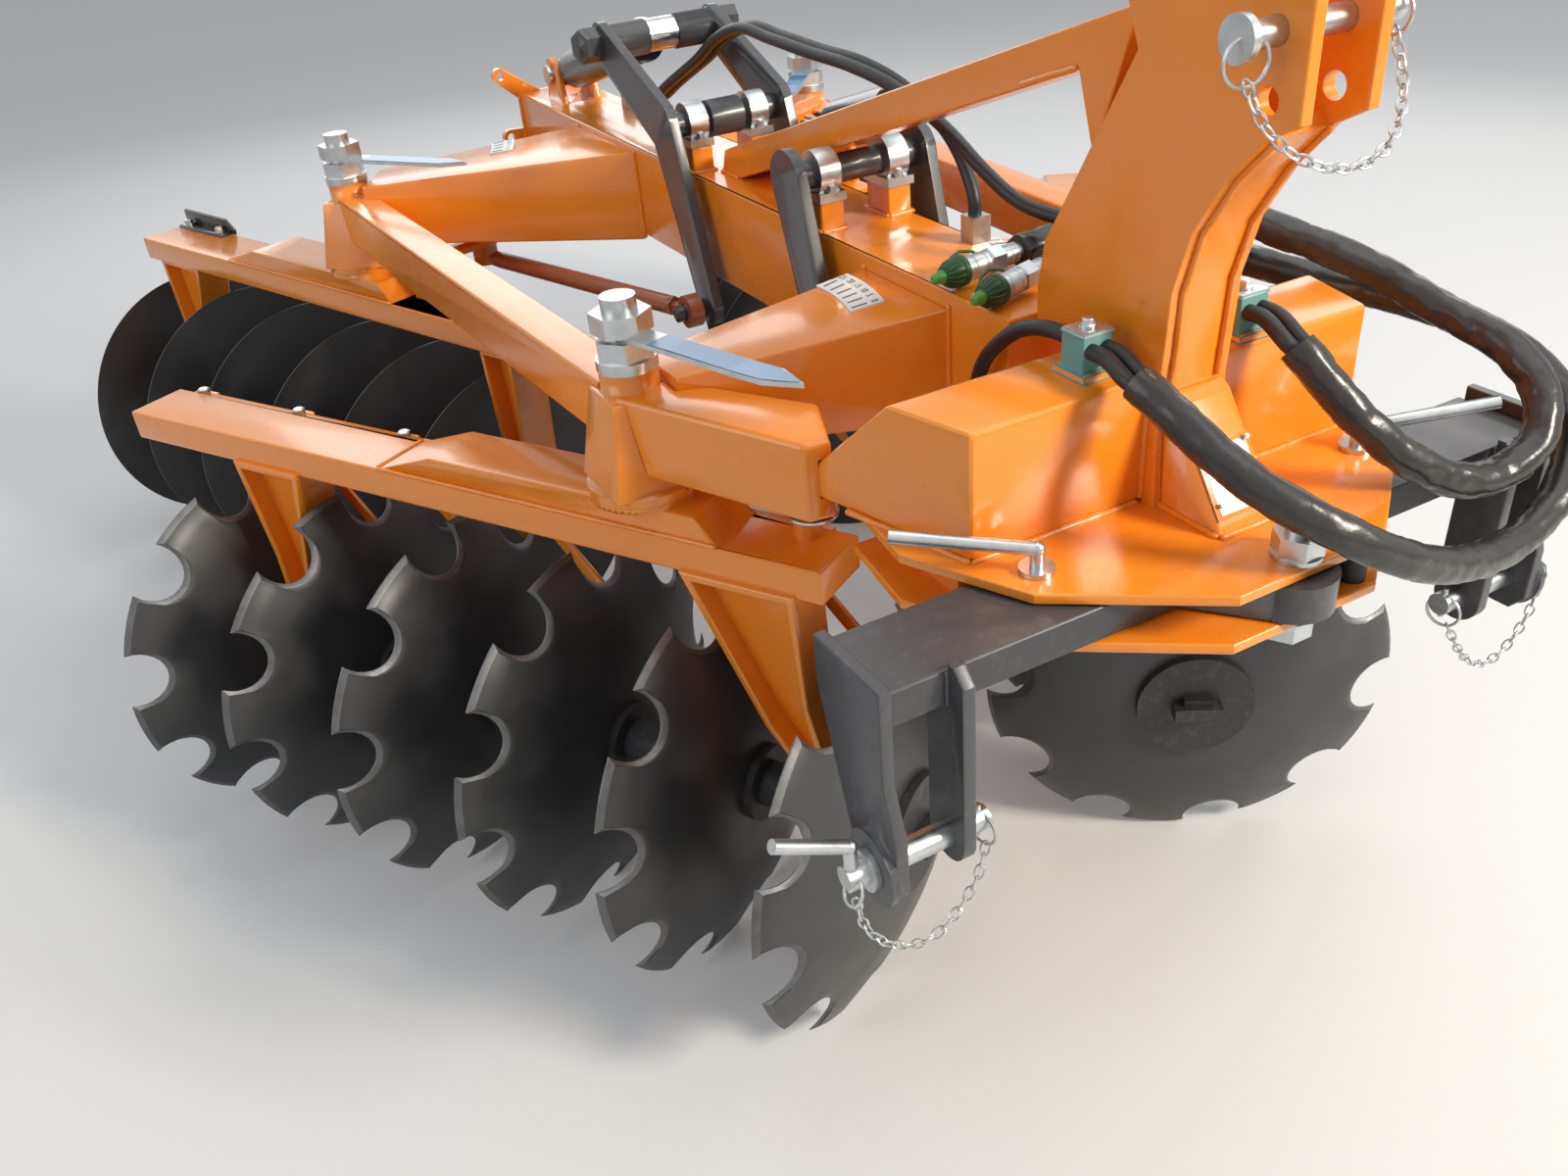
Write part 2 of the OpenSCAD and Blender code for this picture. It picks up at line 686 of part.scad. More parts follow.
// Bearings of the rocker shafts: a foot plate and a round housing
module rocker_bearings() {
    foot_z = main_z1 + 41;
    color(zinc) at_mid() for (y = [front_rocker_y, rear_rocker_y], x = [-55, 55])
        translate([x, y, 0]) difference() {
            union() {
                translate([-21, -34, foot_z]) cube([42, 68, 12]);
                translate([0, 0, rocker_z]) bar_x(-16, 16, 64);
            }
            translate([0, 0, rocker_z]) bar_x(-30, 30, rocker_shaft_d + 2 * run_fit);
        }
}

// Rear plate of the main beam with round lobes at its corners
module rear_plate() {
    lobe = 16;
    thick = 16;
    color(orange) at_mid() translate([0, main_rear_y + thick, 0]) rotate([90, 0, 0])
        linear_extrude(height = thick) difference() {
            union() {
                translate([-main_w / 2, main_z0]) square([main_w, main_z1 - main_z0]);
                for (side = [-1, 1], z = [1005, 878]) hull() {
                    translate([side * 109, z]) circle(r = lobe);
                    translate([side * 40 - 15, (z > 900) ? 935 : 862]) square([30, 30]);
                }
            }
            for (side = [-1, 1], z = [1005, 878]) translate([side * 109, z]) circle(r = 8.5);
        }
}

// Outline of the mast plates as y and z
mast_face = body_front_y - seat;
mast_foot = body_z0 + seat;
mast_curve = [[-104, 943], [-109, 1009], [-111, 1050], [-130, 1113], [-166, 1170], [-205, 1211]];
mast_outline = concat([[-241, 1229], [-241, 1345], [-96, 1345], [-23, 1310], [-41, 1267], [56, 1106], [87, 1056],
    [97, 1003], [97, body_z1 + seat], [mast_face, body_z1 + seat], [mast_face, mast_foot],
    [mast_front_y, mast_foot]], mast_curve);

module mast() {
    web_y = 12;
    color(orange) at_mid() {
        difference() {
            for (side = [-1, 1]) translate([side * (mast_half - mast_plate_t / 2), 0, 0])
                side_profile(mast_outline, mast_plate_t);
            for (h = [[-top_hole_y, top_hole_z], [-top_hole_y - 2, top_pin_z]])
                translate([-100, h[0], h[1]]) bar_x(0, 200, top_link_d);
        }
        // Web along the hollow front edge
        side_profile(concat([[mast_face, mast_foot], [mast_front_y, mast_foot]], mast_curve,
            [[-205 + web_y, 1211 + web_y], [-166 + web_y, 1172 + web_y], [-130 + web_y, 1119],
            [-111 + web_y, 1054], [-109 + web_y, 1009], [-104 + web_y, 943], [mast_face, body_z1]]),
            2 * (mast_half - mast_plate_t) + 2 * eps);
        // Foot gusset with a sloping front
        side_profile([[mast_front_y + eps, mast_foot], [-200, mast_foot], [-196, 823], [-122, 930],
            [mast_front_y + 6, 940]], 76);
    }
}

module mast_brace() {
    foot_z = main_z1 + seat;
    color(orange) at_mid() side_profile([[-23, 1304], [32, 1150], [60, 1233], [brace_foot[0], foot_z],
        [brace_foot[1], foot_z], [brace_foot[1] - 15, 1002]], 2 * brace_half);
}

module crossbar() {
    depth = crossbar_rear_y - crossbar_front_y;
    nose_y = centre_bolt_y - 16;
    root_y = crossbar_front_y + 1;
    color(black) at_mid() translate([0, 0, crossbar_z]) linear_extrude(height = crossbar_h) difference() {
        union() {
            translate([-crossbar_half, crossbar_front_y]) square([2 * crossbar_half, depth]);
            polygon([[-100, root_y], [-42, nose_y], [42, nose_y], [100, root_y]]);
            translate([0, centre_bolt_y]) circle(r = 44);
        }
        translate([0, centre_bolt_y]) circle(d = 30.4);
        for (x = [-lock_pin_x, lock_pin_x]) translate([x, lock_pin_y]) circle(d = 22.4);
    }
}

// Outline of an outer link plate as y and z
outer_link_outline = [[-225, 812], [-107, 812], [-107, 756], [-150, 620], [-168, 573], [-190, 552],
    [-226, 552], [-244, 573], [-244, 640], [-225, 700]];

module link_plates() {
    ear_w = 62;
    pin = [-link_pin_y, link_pin_z];
    end_x = crossbar_half + seat;
    color(black) at_mid() both() difference() {
        union() {
            translate([-end_x - link_plate_t / 2, 0, 0]) side_profile(outer_link_outline, link_plate_t);
            translate([-end_x - link_plate_t - 8, pin[0], pin[1]]) bar_x(0, 8 + eps, 84);
            translate([-ear_x - link_plate_t / 2, 0, 0]) difference() {
                union() {
                    translate([0, pin[0], 0]) side_profile([[-ear_w / 2, pin[1]], [-ear_w / 2, 790], [-15, 806],
                        [18, 806], [ear_w / 2, 790], [ear_w / 2, pin[1]]], link_plate_t);
                    translate([-link_plate_t / 2, pin[0], pin[1]]) bar_x(0, link_plate_t, ear_w);
                }
                translate([-50, crossbar_front_y - seat, crossbar_z - seat])
                    cube([100, 200, crossbar_h + 40]);
            }
        }
        translate([0, pin[0], pin[1]]) bar_x(-end_x - 60, -ear_x + 10, link_pin_d + 2 * run_fit);
    }
}

module link_pins() {
    color(zinc) at_mid() both() translate([0, -link_pin_y, link_pin_z]) {
        outer = -crossbar_half - seat - link_plate_t - 8 - seat;
        bar_x(outer - 30, -ear_x + 32, link_pin_d);
        bar_x(outer - 8, outer, 46);
        translate([outer - 22, 0, -4]) cylinder(d = 15, h = 44);
        translate([outer - 22, 0, 40]) rotate([0, -62, 0]) cylinder(d = 15, h = 92);
        translate([outer - 22, 0, 40]) sphere(d = 16.4, $fn = 24);
    }
}

// Lock pins with bent handles, centre bolt, top link pin and the two cylinder pins of the frame
module frame_pins() {
    top = upper_z + plate_t + seat;
    color(zinc) at_mid() {
        for (side = [-1, 1]) translate([side * lock_pin_x, lock_pin_y, 0]) {
            translate([0, 0, lower_z - 22]) cylinder(d = 22, h = top + 6 - lower_z + 22);
            translate([0, 0, top]) cylinder(d = 38, h = 6);
            translate([0, 0, top + 5]) cylinder(d = 15, h = 21);
            translate([0, 0, top + 26]) sphere(d = 16.4, $fn = 24);
            translate([0, 0, top + 26]) rotate([0, 82, (side < 0) ? 148 : -30]) cylinder(d = 15, h = 150);
        }
        translate([0, centre_bolt_y, 0]) {
            translate([0, 0, lower_z - seat - 22]) cylinder(d = 30, h = top + 38 - lower_z + 22);
            translate([0, 0, top]) cylinder(d = 52, h = 5);
            translate([0, 0, top + 5]) cylinder(d = 46 / cos(30), h = 22, $fn = 6);
            translate([0, 0, lower_z - seat - 22]) cylinder(d = 46 / cos(30), h = 20, $fn = 6);
            translate([0, 0, lower_z - seat - 5]) cylinder(d = 52, h = 5);
        }
        translate([0, -top_hole_y - 2, top_pin_z]) {
            bar_x(-84, 92, top_link_d - 0.5);
            bar_x(-92, -84 + eps, 40);
        }
        translate([0, lug_y, lug_z]) {
            bar_x(-54, 54, cyl_pin_d);
            for (x = [-54, 48]) bar_x(x, x + 6, 38);
        }
        translate([front_cyl_x, front_cyl_foot[1], front_cyl_foot[2]]) {
            bar_x(-46, 46, cyl_pin_d);
            for (x = [-46, 40]) bar_x(x, x + 6, 38);
        }
    }
}

// Lever plate outline: discs joined to a shaft boss, drawn as y and z from the shaft
module lever_outline(points, radii) {
    for (i = [1:len(points) - 1]) hull() {
        translate(points[0]) circle(r = radii[0], $fn = 40);
        translate(points[i]) circle(r = radii[i], $fn = 40);
    }
}

module lever(points, radii, x0, thick) {
    translate([x0, 0, 0]) rotate([90, 0, 90]) linear_extrude(height = thick) lever_outline(points, radii);
}

module front_rocker() {
    ball = [front_ball[1] - front_rocker_y, front_ball[2] - rocker_z];
    eye = [front_cyl_eye[1] - front_rocker_y, front_cyl_eye[2] - rocker_z];
    color(black) at_mid() translate([0, front_rocker_y, rocker_z]) {
        bar_x(-lever_x - lever_t, lever_x + lever_t, rocker_shaft_d);
        lever([[0, 0], ball], [40, 30], -lever_x - lever_t, lever_t);
        lever([[0, 0], ball, eye], [40, 30, 30], lever_x, lever_t);
        for (side = [-1, 1]) mirror([side > 0 ? 1 : 0, 0, 0]) translate([0, ball[0], ball[1]]) {
            bar_x(-ball_x - 30, -lever_x, 20);
            bar_x(-ball_x + 18, -lever_x, 34);
            bar_x(-ball_x - 28, -ball_x - 18, 28);
            translate([-ball_x, 0, 0]) sphere(d = ball_d);
        }
    }
}

module rear_rocker() {
    ball = [rear_ball[1] - rear_rocker_y, rear_ball[2] - rocker_z];
    color(black) at_mid() translate([0, rear_rocker_y, rocker_z]) {
        bar_x(-lever_x - lever_t, lever_x + lever_t, rocker_shaft_d);
        bar_x(-29, 29, 58);
        for (side = [0, 1]) mirror([side, 0, 0]) {
            lever([[0, 0], ball, [yoke_y, yoke_z]], [44, 32, 34], -lever_x - lever_t, lever_t);
            translate([0, ball[0], ball[1]]) {
                bar_x(-ball_x - 30, -lever_x, 20);
                bar_x(-ball_x + 18, -lever_x, 34);
                bar_x(-ball_x - 28, -ball_x - 18, 28);
                translate([-ball_x, 0, 0]) sphere(d = ball_d);
            }
        }
        translate([0, yoke_y, yoke_z]) {
            bar_x(-lever_x, -28, 58);
            bar_x(28, lever_x, 58);
            for (side = [0, 1]) mirror([side, 0, 0]) {
                bar_x(-150, -lever_x, cyl_pin_d);
                translate([-lever_x - lever_t, 0, 0]) {
                    rotate([0, -90, 0]) cylinder(d = 56, h = 20, $fn = 6);
                    translate([eps - 20, 0, 0]) rotate([15, -90, 0]) cylinder(d = 56, h = 18, $fn = 6);
                }
            }
        }
    }
}

// Cylinder barrel along x from its foot eye at the origin, and rod with its eye at the far end
module barrel(length, eye_w) {
    rotate([90, 0, 0]) difference() {
        union() {
            cylinder(d = 52, h = eye_w, center = true);
            translate([0, -18, -eye_w / 2]) cube([46, 36, eye_w]);
            translate([42, 0, 0]) bar_x(0, length - 42, barrel_d);
        }
        cylinder(d = cyl_pin_d + 2 * run_fit, h = 200, center = true);
        translate([60, 0, 0]) bar_x(0, length, rod_d + 2 * run_fit);
    }
}

module rod(start, length, eye_w) {
    rotate([90, 0, 0]) {
        bar_x(start, length - 20, rod_d);
        translate([length, 0, 0]) cylinder(d = 54, h = eye_w, center = true);
        translate([length - 40, -18, -eye_w / 2]) cube([40, 36, eye_w]);
    }
}

// Moves a piece drawn along x, with its pin along y, to the line from a to b in a plane of constant x
module along(a, b) {
    at_mid() translate(a) rotate([atan2(b[2] - a[2], b[1] - a[1]), 0, 0]) rotate([0, 0, 90]) children();
}

rear_closed = norm([0, yoke[1] - lug_y, yoke[2] - lug_z]);
front_closed = norm([0, front_cyl_eye[1] - front_cyl_foot[1], front_cyl_eye[2] - front_cyl_foot[2]]);

module rear_barrel() {
    color(black) along([0, lug_y, lug_z], yoke) barrel(rear_closed - 75, 52);
}

module rear_rod() {
    color(zinc) along([0, lug_y, lug_z], yoke) rod(rear_closed - 290, rear_closed, 52);
}

module front_barrel() {
    color(black) along(front_cyl_foot, front_cyl_eye) barrel(front_closed - 62, 36);
}

module front_rod() {
    inner = lever_x + lever_t + turn_gap;
    color(zinc) {
        along(front_cyl_foot, front_cyl_eye) rod(66, front_closed, 30);
        at_mid() translate([0, front_cyl_eye[1], front_cyl_eye[2]]) {
            bar_x(inner, front_cyl_x + 27, cyl_pin_d);
            bar_x(inner, front_cyl_x - 15, 38);
        }
    }
}

// Tie rod: a tube with threaded ends, its ball eye on the lever and its other end short of the gang's eye
module tie(eye, ball) {
    d = ball - eye;
    len = norm(d);
    difference() {
        union() {
            translate(eye) rotate([0, 0, atan2(d[1], d[0])]) rotate([0, 90 - asin(d[2] / len), 0]) {
                translate([0, 0, 56]) cylinder(d = tie_d, h = len - 108);
                translate([0, 0, tie_gap]) cylinder(d = 20, h = 40);
                translate([0, 0, len - 62]) cylinder(d = 19, h = 38);
                translate([0, 0, 46]) cylinder(d = 34, h = 11, $fn = 6);
                translate([0, 0, len - 56]) cylinder(d = 34, h = 11, $fn = 6);
            }
            translate(ball) rotate([0, 90, 0]) cylinder(d = 54, h = 24, center = true);
        }
        translate(ball) rotate([0, 90, 0]) cylinder(d = 28, h = 80, center = true);
        translate(ball) rotate([0, 90, 0]) sphere(d = ball_d + 2 * seat);
    }
}

function gang_point(px, py, sweep, p) = let (a = 180 - sweep)
    [-px + p[0] * cos(a) - p[1] * sin(a), py + p[0] * sin(a) + p[1] * cos(a), p[2]];

module front_tie() {
    eye = gang_point(front_pivot_x, front_pivot_y, front_sweep, front_eye);
    color("chocolate") at_mid() tie(eye, front_ball);
}

module rear_tie() {
    eye = gang_point(rear_pivot_x, rear_pivot_y, rear_sweep, rear_eye);
    color("chocolate") at_mid() tie(eye, rear_ball);
}

// Clamps that hold the hoses on top of the cross body
module hose_clamps() {
    color(zinc) at_mid() for (c = [[-90, -42], [104, -62]]) translate([c[0], c[1], body_z1 + seat]) {
        translate([-24, -26, 0]) cube([48, 52, 8]);
        translate([-20, -18, 8 - eps]) cube([40, 36, 42]);
    }
}

// Tangent of a route at its point i
function heading(route, i) = let (d = route[min(i + 1, len(route) - 1)] - route[max(i - 1, 0)]) d / norm(d);

// Side vectors carried along a route from its point i, square to each tangent
function sides(route, i, side) = let (t = heading(route, i), s = side - (side * t) * t, u = s / norm(s))
    (i == len(route) - 1) ? [u] : concat([u], sides(route, i + 1, u));

// Hose of diameter d swept along the points of its route
module hose(route, d) {
    facets = 10;
    n = len(route);
    u = sides(route, 0, [0.1, 0.2, 1]);
    rings = [for (i = [0:n - 1]) let (v = cross(heading(route, i), u[i])) for (k = [0:facets - 1])
        route[i] + d / 2 * (cos(k * 360 / facets) * u[i] + sin(k * 360 / facets) * v)];
    skin = [for (i = [0:n - 2], k = [0:facets - 1]) let (a = i * facets + k, b = i * facets + (k + 1) % facets)
        [a, a + facets, b + facets, b]];
    start = [for (k = [0:facets - 1]) k];
    end = [for (k = [0:facets - 1]) n * facets - 1 - k];
    at_mid() polyhedron(points = rings, faces = concat([start], skin, [end]));
}

sleeve_d = 40;
hose_d = 18;
outer_route = [
    [-90, -60, 988], [-90, -80, 988], [-98, -120, 981], [-88, -170, 955], [-58, -245, 905],
    [-5, -308, 862], [70, -330, 815], [150, -328, 776], [235, -318, 752], [320, -304, 750],
    [390, -286, 775], [432, -255, 822], [442, -200, 866], [432, -130, 895], [404, -50, 915],
    [360, 40, 925], [300, 110, 948], [200, 165, 978], [110, 187, 986], [60, 189, 986],
    [30, 180, 986]];
inner_route = [
    [104, -80, 988], [104, -100, 988], [102, -135, 973], [118, -172, 934], [150, -208, 885],
    [200, -238, 838], [258, -256, 808], [312, -262, 804], [358, -264, 826], [390, -236, 866],
    [396, -180, 902], [382, -110, 925], [344, -20, 966], [292, 60, 998], [240, 140, 1022],
    [190, 212, 1022], [115, 248, 992], [64, 249, 986], [40, 246, 986]];
rear_route_1 = [
    [50, 1480, 985], [50, 1460, 985], [50, 1400, 1000], [50, 1320, 1036], [50, 1240, 1070],
    [50, 1170, 1100], [50, 1090, 1140], [50, 1000, 1166], [50, 890, 1162], [50, 770, 1156],
    [50, 650, 1152], [50, 545, 1140], [50, 470, 1122], [50, 400, 1098], [52, 330, 1064],
    [62, 270, 1036], [80, 200, 1026], [92, 120, 1022], [94, 30, 1008], [94, -24, 988],
    [94, -44, 988]];
rear_route_2 = [
    [72, 1480, 985], [72, 1460, 985], [72, 1400, 1000], [72, 1320, 1036], [72, 1240, 1070],
    [72, 1170, 1100], [72, 1090, 1140], [72, 1000, 1166], [72, 890, 1162], [72, 770, 1156],
    [72, 650, 1152], [72, 545, 1134], [72, 480, 1110], [70, 425, 1080], [66, 388, 1046],
    [64, 370, 1014], [64, 370, 1000]];
feed_route = [
    [-90, -24, 988], [-90, -8, 988], [-92, 24, 986], [-94, 62, 974], [-96, 98, 948],
    [-96, 130, 912], [-96, 144, 870], [-96, 144, 850]];

module outer_sleeve() {
    color(black) hose(outer_route, sleeve_d);
}

module inner_sleeve() {
    color(black) hose(inner_route, sleeve_d);
}

module rear_hose_1() {
    color(black) hose(rear_route_1, hose_d);
}

module rear_hose_2() {
    color(black) hose(rear_route_2, hose_d);
}

module feed_hose() {
    color(black) hose(feed_route, hose_d);
}

// Quick coupler with its dust cap, straight on from the end of its sleeve
module coupler(route) {
    last = len(route) - 1;
    way = heading(route, last);
    translate(route[last]) rotate(atan2(way[1], way[0])) {
        bar_x(0, 30, 26);
        translate([30 - eps, 0, 0]) rotate([0, 90, 0]) cylinder(d = 36, h = 24, $fn = 6);
        bar_x(54 - 2 * eps, 96, 30);
        bar_x(92, 140, 38);
    }
}

module hose_couplers() {
    color("darkgreen") at_mid() {
        coupler(outer_route);
        coupler(inner_route);
    }
}

// Blocks on the beam that the hoses end in
module hose_fittings() {
    color(zinc) at_mid() {
        translate([37, 1480, main_z1 + seat]) cube([48, 60, 36]);
        translate([50, 354, main_z1 + seat]) cube([28, 28, 1000 - main_z1 - seat]);
        translate([-main_w / 2 - seat - 36, 130, 812]) cube([36, 28, 38]);
    }
}

module bumper() {
    color(black) at_mid() translate([86, -266, lower_z + plate_t + seat]) cylinder(d = 30, h = crossbar_h + 2);
}

// Mirrored to the left side
module left() {
    mirror([1, 0, 0]) children();
}

main_beam();
rear_plate();
arms();
side_tubes();
turrets();
cross_body();
upper_plate();
lower_plate();
mast();
mast_brace();
rocker_bearings();
crossbar();
link_plates();
link_pins();
frame_pins();
scale_plates();
hose_clamps();
bumper();
hose_couplers();
hose_fittings();
outer_sleeve();
inner_sleeve();
rear_hose_1();
rear_hose_2();
feed_hose();
front_rocker();
rear_rocker();
front_barrel();
front_rod();
rear_barrel();
rear_rod();
front_tie();  // front_tie_right
left() front_tie();  // front_tie_left
rear_tie();  // rear_tie_right
left() rear_tie();  // rear_tie_left
front_gang();  // front_gang_right
left() front_gang();  // front_gang_left
rear_gang();  // rear_gang_right
left() rear_gang();  // rear_gang_left
front_pivot();  // front_pivot_right
left() front_pivot();  // front_pivot_left
rear_pivot();  // rear_pivot_right
left() rear_pivot();  // rear_pivot_left
front_discs();  // front_discs_right
left() front_discs();  // front_discs_left
rear_discs();  // rear_discs_right
left() rear_discs();  // rear_discs_left
front_axle();  // front_axle_right
left() front_axle();  // front_axle_left
rear_axle();  // rear_axle_right
left() rear_axle();  // rear_axle_left
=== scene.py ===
import json
from math import acos, atan2, cos, hypot, pi, radians, sin

import bmesh
import bpy
from mathutils import Matrix, Vector, noise
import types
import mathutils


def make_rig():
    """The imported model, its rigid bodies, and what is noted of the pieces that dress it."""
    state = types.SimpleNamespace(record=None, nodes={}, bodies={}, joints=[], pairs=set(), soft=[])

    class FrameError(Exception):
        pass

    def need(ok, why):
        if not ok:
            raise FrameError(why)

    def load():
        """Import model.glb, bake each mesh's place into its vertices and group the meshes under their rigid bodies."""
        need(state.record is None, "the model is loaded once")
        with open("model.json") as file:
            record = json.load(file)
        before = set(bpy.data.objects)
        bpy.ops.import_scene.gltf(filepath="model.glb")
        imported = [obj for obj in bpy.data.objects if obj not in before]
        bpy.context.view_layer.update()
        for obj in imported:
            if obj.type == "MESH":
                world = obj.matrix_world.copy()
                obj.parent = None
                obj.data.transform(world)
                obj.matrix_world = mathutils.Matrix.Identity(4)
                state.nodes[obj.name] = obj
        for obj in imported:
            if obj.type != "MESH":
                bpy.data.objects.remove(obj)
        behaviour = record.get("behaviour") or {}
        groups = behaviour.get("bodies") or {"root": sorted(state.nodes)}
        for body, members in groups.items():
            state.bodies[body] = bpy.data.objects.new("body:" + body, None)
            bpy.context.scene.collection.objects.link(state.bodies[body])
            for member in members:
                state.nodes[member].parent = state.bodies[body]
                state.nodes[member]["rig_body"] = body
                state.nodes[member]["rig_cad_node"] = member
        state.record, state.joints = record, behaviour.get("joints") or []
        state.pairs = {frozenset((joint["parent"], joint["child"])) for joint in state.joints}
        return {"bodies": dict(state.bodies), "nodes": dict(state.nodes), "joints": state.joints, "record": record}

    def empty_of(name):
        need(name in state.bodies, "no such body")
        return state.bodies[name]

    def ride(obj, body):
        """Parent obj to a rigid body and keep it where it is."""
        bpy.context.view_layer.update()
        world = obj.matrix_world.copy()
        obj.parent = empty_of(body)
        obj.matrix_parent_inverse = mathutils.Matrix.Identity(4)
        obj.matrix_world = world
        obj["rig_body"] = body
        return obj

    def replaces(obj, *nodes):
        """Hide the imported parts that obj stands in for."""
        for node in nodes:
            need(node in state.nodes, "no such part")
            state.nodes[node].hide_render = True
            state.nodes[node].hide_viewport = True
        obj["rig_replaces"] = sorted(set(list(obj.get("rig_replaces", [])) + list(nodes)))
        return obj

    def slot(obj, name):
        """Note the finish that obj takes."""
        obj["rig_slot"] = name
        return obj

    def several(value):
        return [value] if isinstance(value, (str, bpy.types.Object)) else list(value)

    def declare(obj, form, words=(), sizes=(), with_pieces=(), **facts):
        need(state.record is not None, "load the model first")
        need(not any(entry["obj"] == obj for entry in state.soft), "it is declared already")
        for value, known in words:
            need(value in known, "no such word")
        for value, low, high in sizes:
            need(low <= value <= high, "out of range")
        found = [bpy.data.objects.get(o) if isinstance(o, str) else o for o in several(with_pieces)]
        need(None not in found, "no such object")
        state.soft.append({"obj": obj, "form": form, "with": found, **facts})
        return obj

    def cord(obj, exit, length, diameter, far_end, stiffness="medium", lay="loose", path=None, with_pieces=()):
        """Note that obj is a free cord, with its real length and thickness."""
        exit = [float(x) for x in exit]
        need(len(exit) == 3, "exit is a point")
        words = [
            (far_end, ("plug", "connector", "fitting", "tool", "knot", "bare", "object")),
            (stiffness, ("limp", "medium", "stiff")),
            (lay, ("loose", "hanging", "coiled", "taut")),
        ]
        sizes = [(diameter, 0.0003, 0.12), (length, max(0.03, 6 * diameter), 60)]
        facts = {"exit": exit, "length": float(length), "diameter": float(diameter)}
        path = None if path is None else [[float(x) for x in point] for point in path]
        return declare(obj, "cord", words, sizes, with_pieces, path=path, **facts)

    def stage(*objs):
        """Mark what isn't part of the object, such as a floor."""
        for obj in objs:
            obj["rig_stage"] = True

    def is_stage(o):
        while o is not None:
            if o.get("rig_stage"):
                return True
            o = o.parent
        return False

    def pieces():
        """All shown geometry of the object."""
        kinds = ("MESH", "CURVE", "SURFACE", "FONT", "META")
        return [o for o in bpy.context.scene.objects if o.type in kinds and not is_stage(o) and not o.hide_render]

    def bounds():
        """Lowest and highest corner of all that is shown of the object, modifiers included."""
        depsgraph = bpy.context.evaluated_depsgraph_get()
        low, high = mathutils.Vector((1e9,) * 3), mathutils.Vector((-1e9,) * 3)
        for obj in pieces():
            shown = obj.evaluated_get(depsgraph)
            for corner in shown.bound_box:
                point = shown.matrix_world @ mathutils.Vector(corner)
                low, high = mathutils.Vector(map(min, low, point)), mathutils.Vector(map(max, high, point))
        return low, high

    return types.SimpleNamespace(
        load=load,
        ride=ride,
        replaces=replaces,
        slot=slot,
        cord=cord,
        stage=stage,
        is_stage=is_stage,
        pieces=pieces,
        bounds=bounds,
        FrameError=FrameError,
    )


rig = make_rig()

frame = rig.load()
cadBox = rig.bounds()
nodes = frame["nodes"]
bodyOf = {node: body for body, group in frame["record"]["behaviour"]["bodies"].items() for node in group}
slotOf = {part["node"]: part["material_slot"] for part in frame["record"]["subparts"]}
print("frame loaded:", len(nodes), "nodes")

hitchY = -1.090  # where the hitch datum lies along the machine, in metres
sides = ("right", "left")
upward = Vector((0, 0, 1))


def mm(x, y, z):
    # a point given in millimetres from the hitch datum, as the solids are drawn
    return Vector((x / 1000, y / 1000 + hitchY, z / 1000))


def onSide(point, side):
    # a point drawn on the right, or its mirror image on the left
    return Vector((point.x if side == "right" else -point.x, point.y, point.z))


def turns(count):
    # the angles of one full turn in equal steps
    return [2 * pi * k / count for k in range(count)]


def addObject(name, data):
    obj = bpy.data.objects.new(name, data)
    bpy.context.scene.collection.objects.link(obj)
    return obj


# Camera: place in millimetres, angles in radians, focal length in pixels of the image's width
camera = {
    "place": (-925.7, -1012.7, 1511.9), "yaw": 0.446, "pitch": 0.566, "roll": -0.095,
    "focal": 1309.7, "width": 1600, "sensor": 36, "near": 0.05, "far": 120,
}


def makeCamera():
    # yaw to the right, pitch down and a slight roll
    yaw, pitch, roll = camera["yaw"], camera["pitch"], camera["roll"]
    forward = Vector((sin(yaw) * cos(pitch), cos(yaw) * cos(pitch), -sin(pitch)))
    right = Vector((cos(yaw), -sin(yaw), 0))
    up = right.cross(forward)
    side = right * cos(roll) + up * sin(roll)
    top = up * cos(roll) - right * sin(roll)
    data = bpy.data.cameras.new("photoCamera")
    data.sensor_fit = "HORIZONTAL"
    data.sensor_width = camera["sensor"]
    data.lens = camera["focal"] / camera["width"] * camera["sensor"]
    data.clip_start, data.clip_end = camera["near"], camera["far"]
    cam = addObject("photoCamera", data)
    turn = Matrix((side, top, -forward)).transposed().to_4x4()
    cam.matrix_world = Matrix.Translation(mm(*camera["place"])) @ turn
    bpy.context.scene.camera = cam


makeCamera()
print("camera made")


class NodeMaker:
    # makes nodes in a tree: an input is linked to a socket, or set to a value
    def __init__(self, tree):
        self.tree = tree

    def feed(self, socket, value):
        if isinstance(value, bpy.types.NodeSocket):
            self.tree.links.new(value, socket)
        elif socket.type == "RGBA":
            socket.default_value = (*value[:3], 1)
        else:
            socket.default_value = value

    def add(self, kind, props=None, **inputs):
        node = self.tree.nodes.new(kind)
        for key, value in (props or {}).items():
            setattr(node, key, value)
        for key, value in inputs.items():
            self.feed(node.inputs[key.replace("_", " ")], value)
        return node

    def math(self, operation, a, b):
        node = self.add("ShaderNodeMath", {"operation": operation})
        for socket, value in zip(node.inputs, (a, b)):
            self.feed(socket, value)
        return node.outputs[0]

    def seen(self):
        # 1 where the camera or a glossy surface looks, 0 for the light on the object
        rays = self.add("ShaderNodeLightPath").outputs
        return self.math("MAXIMUM", rays["Is Camera Ray"], rays["Is Glossy Ray"])


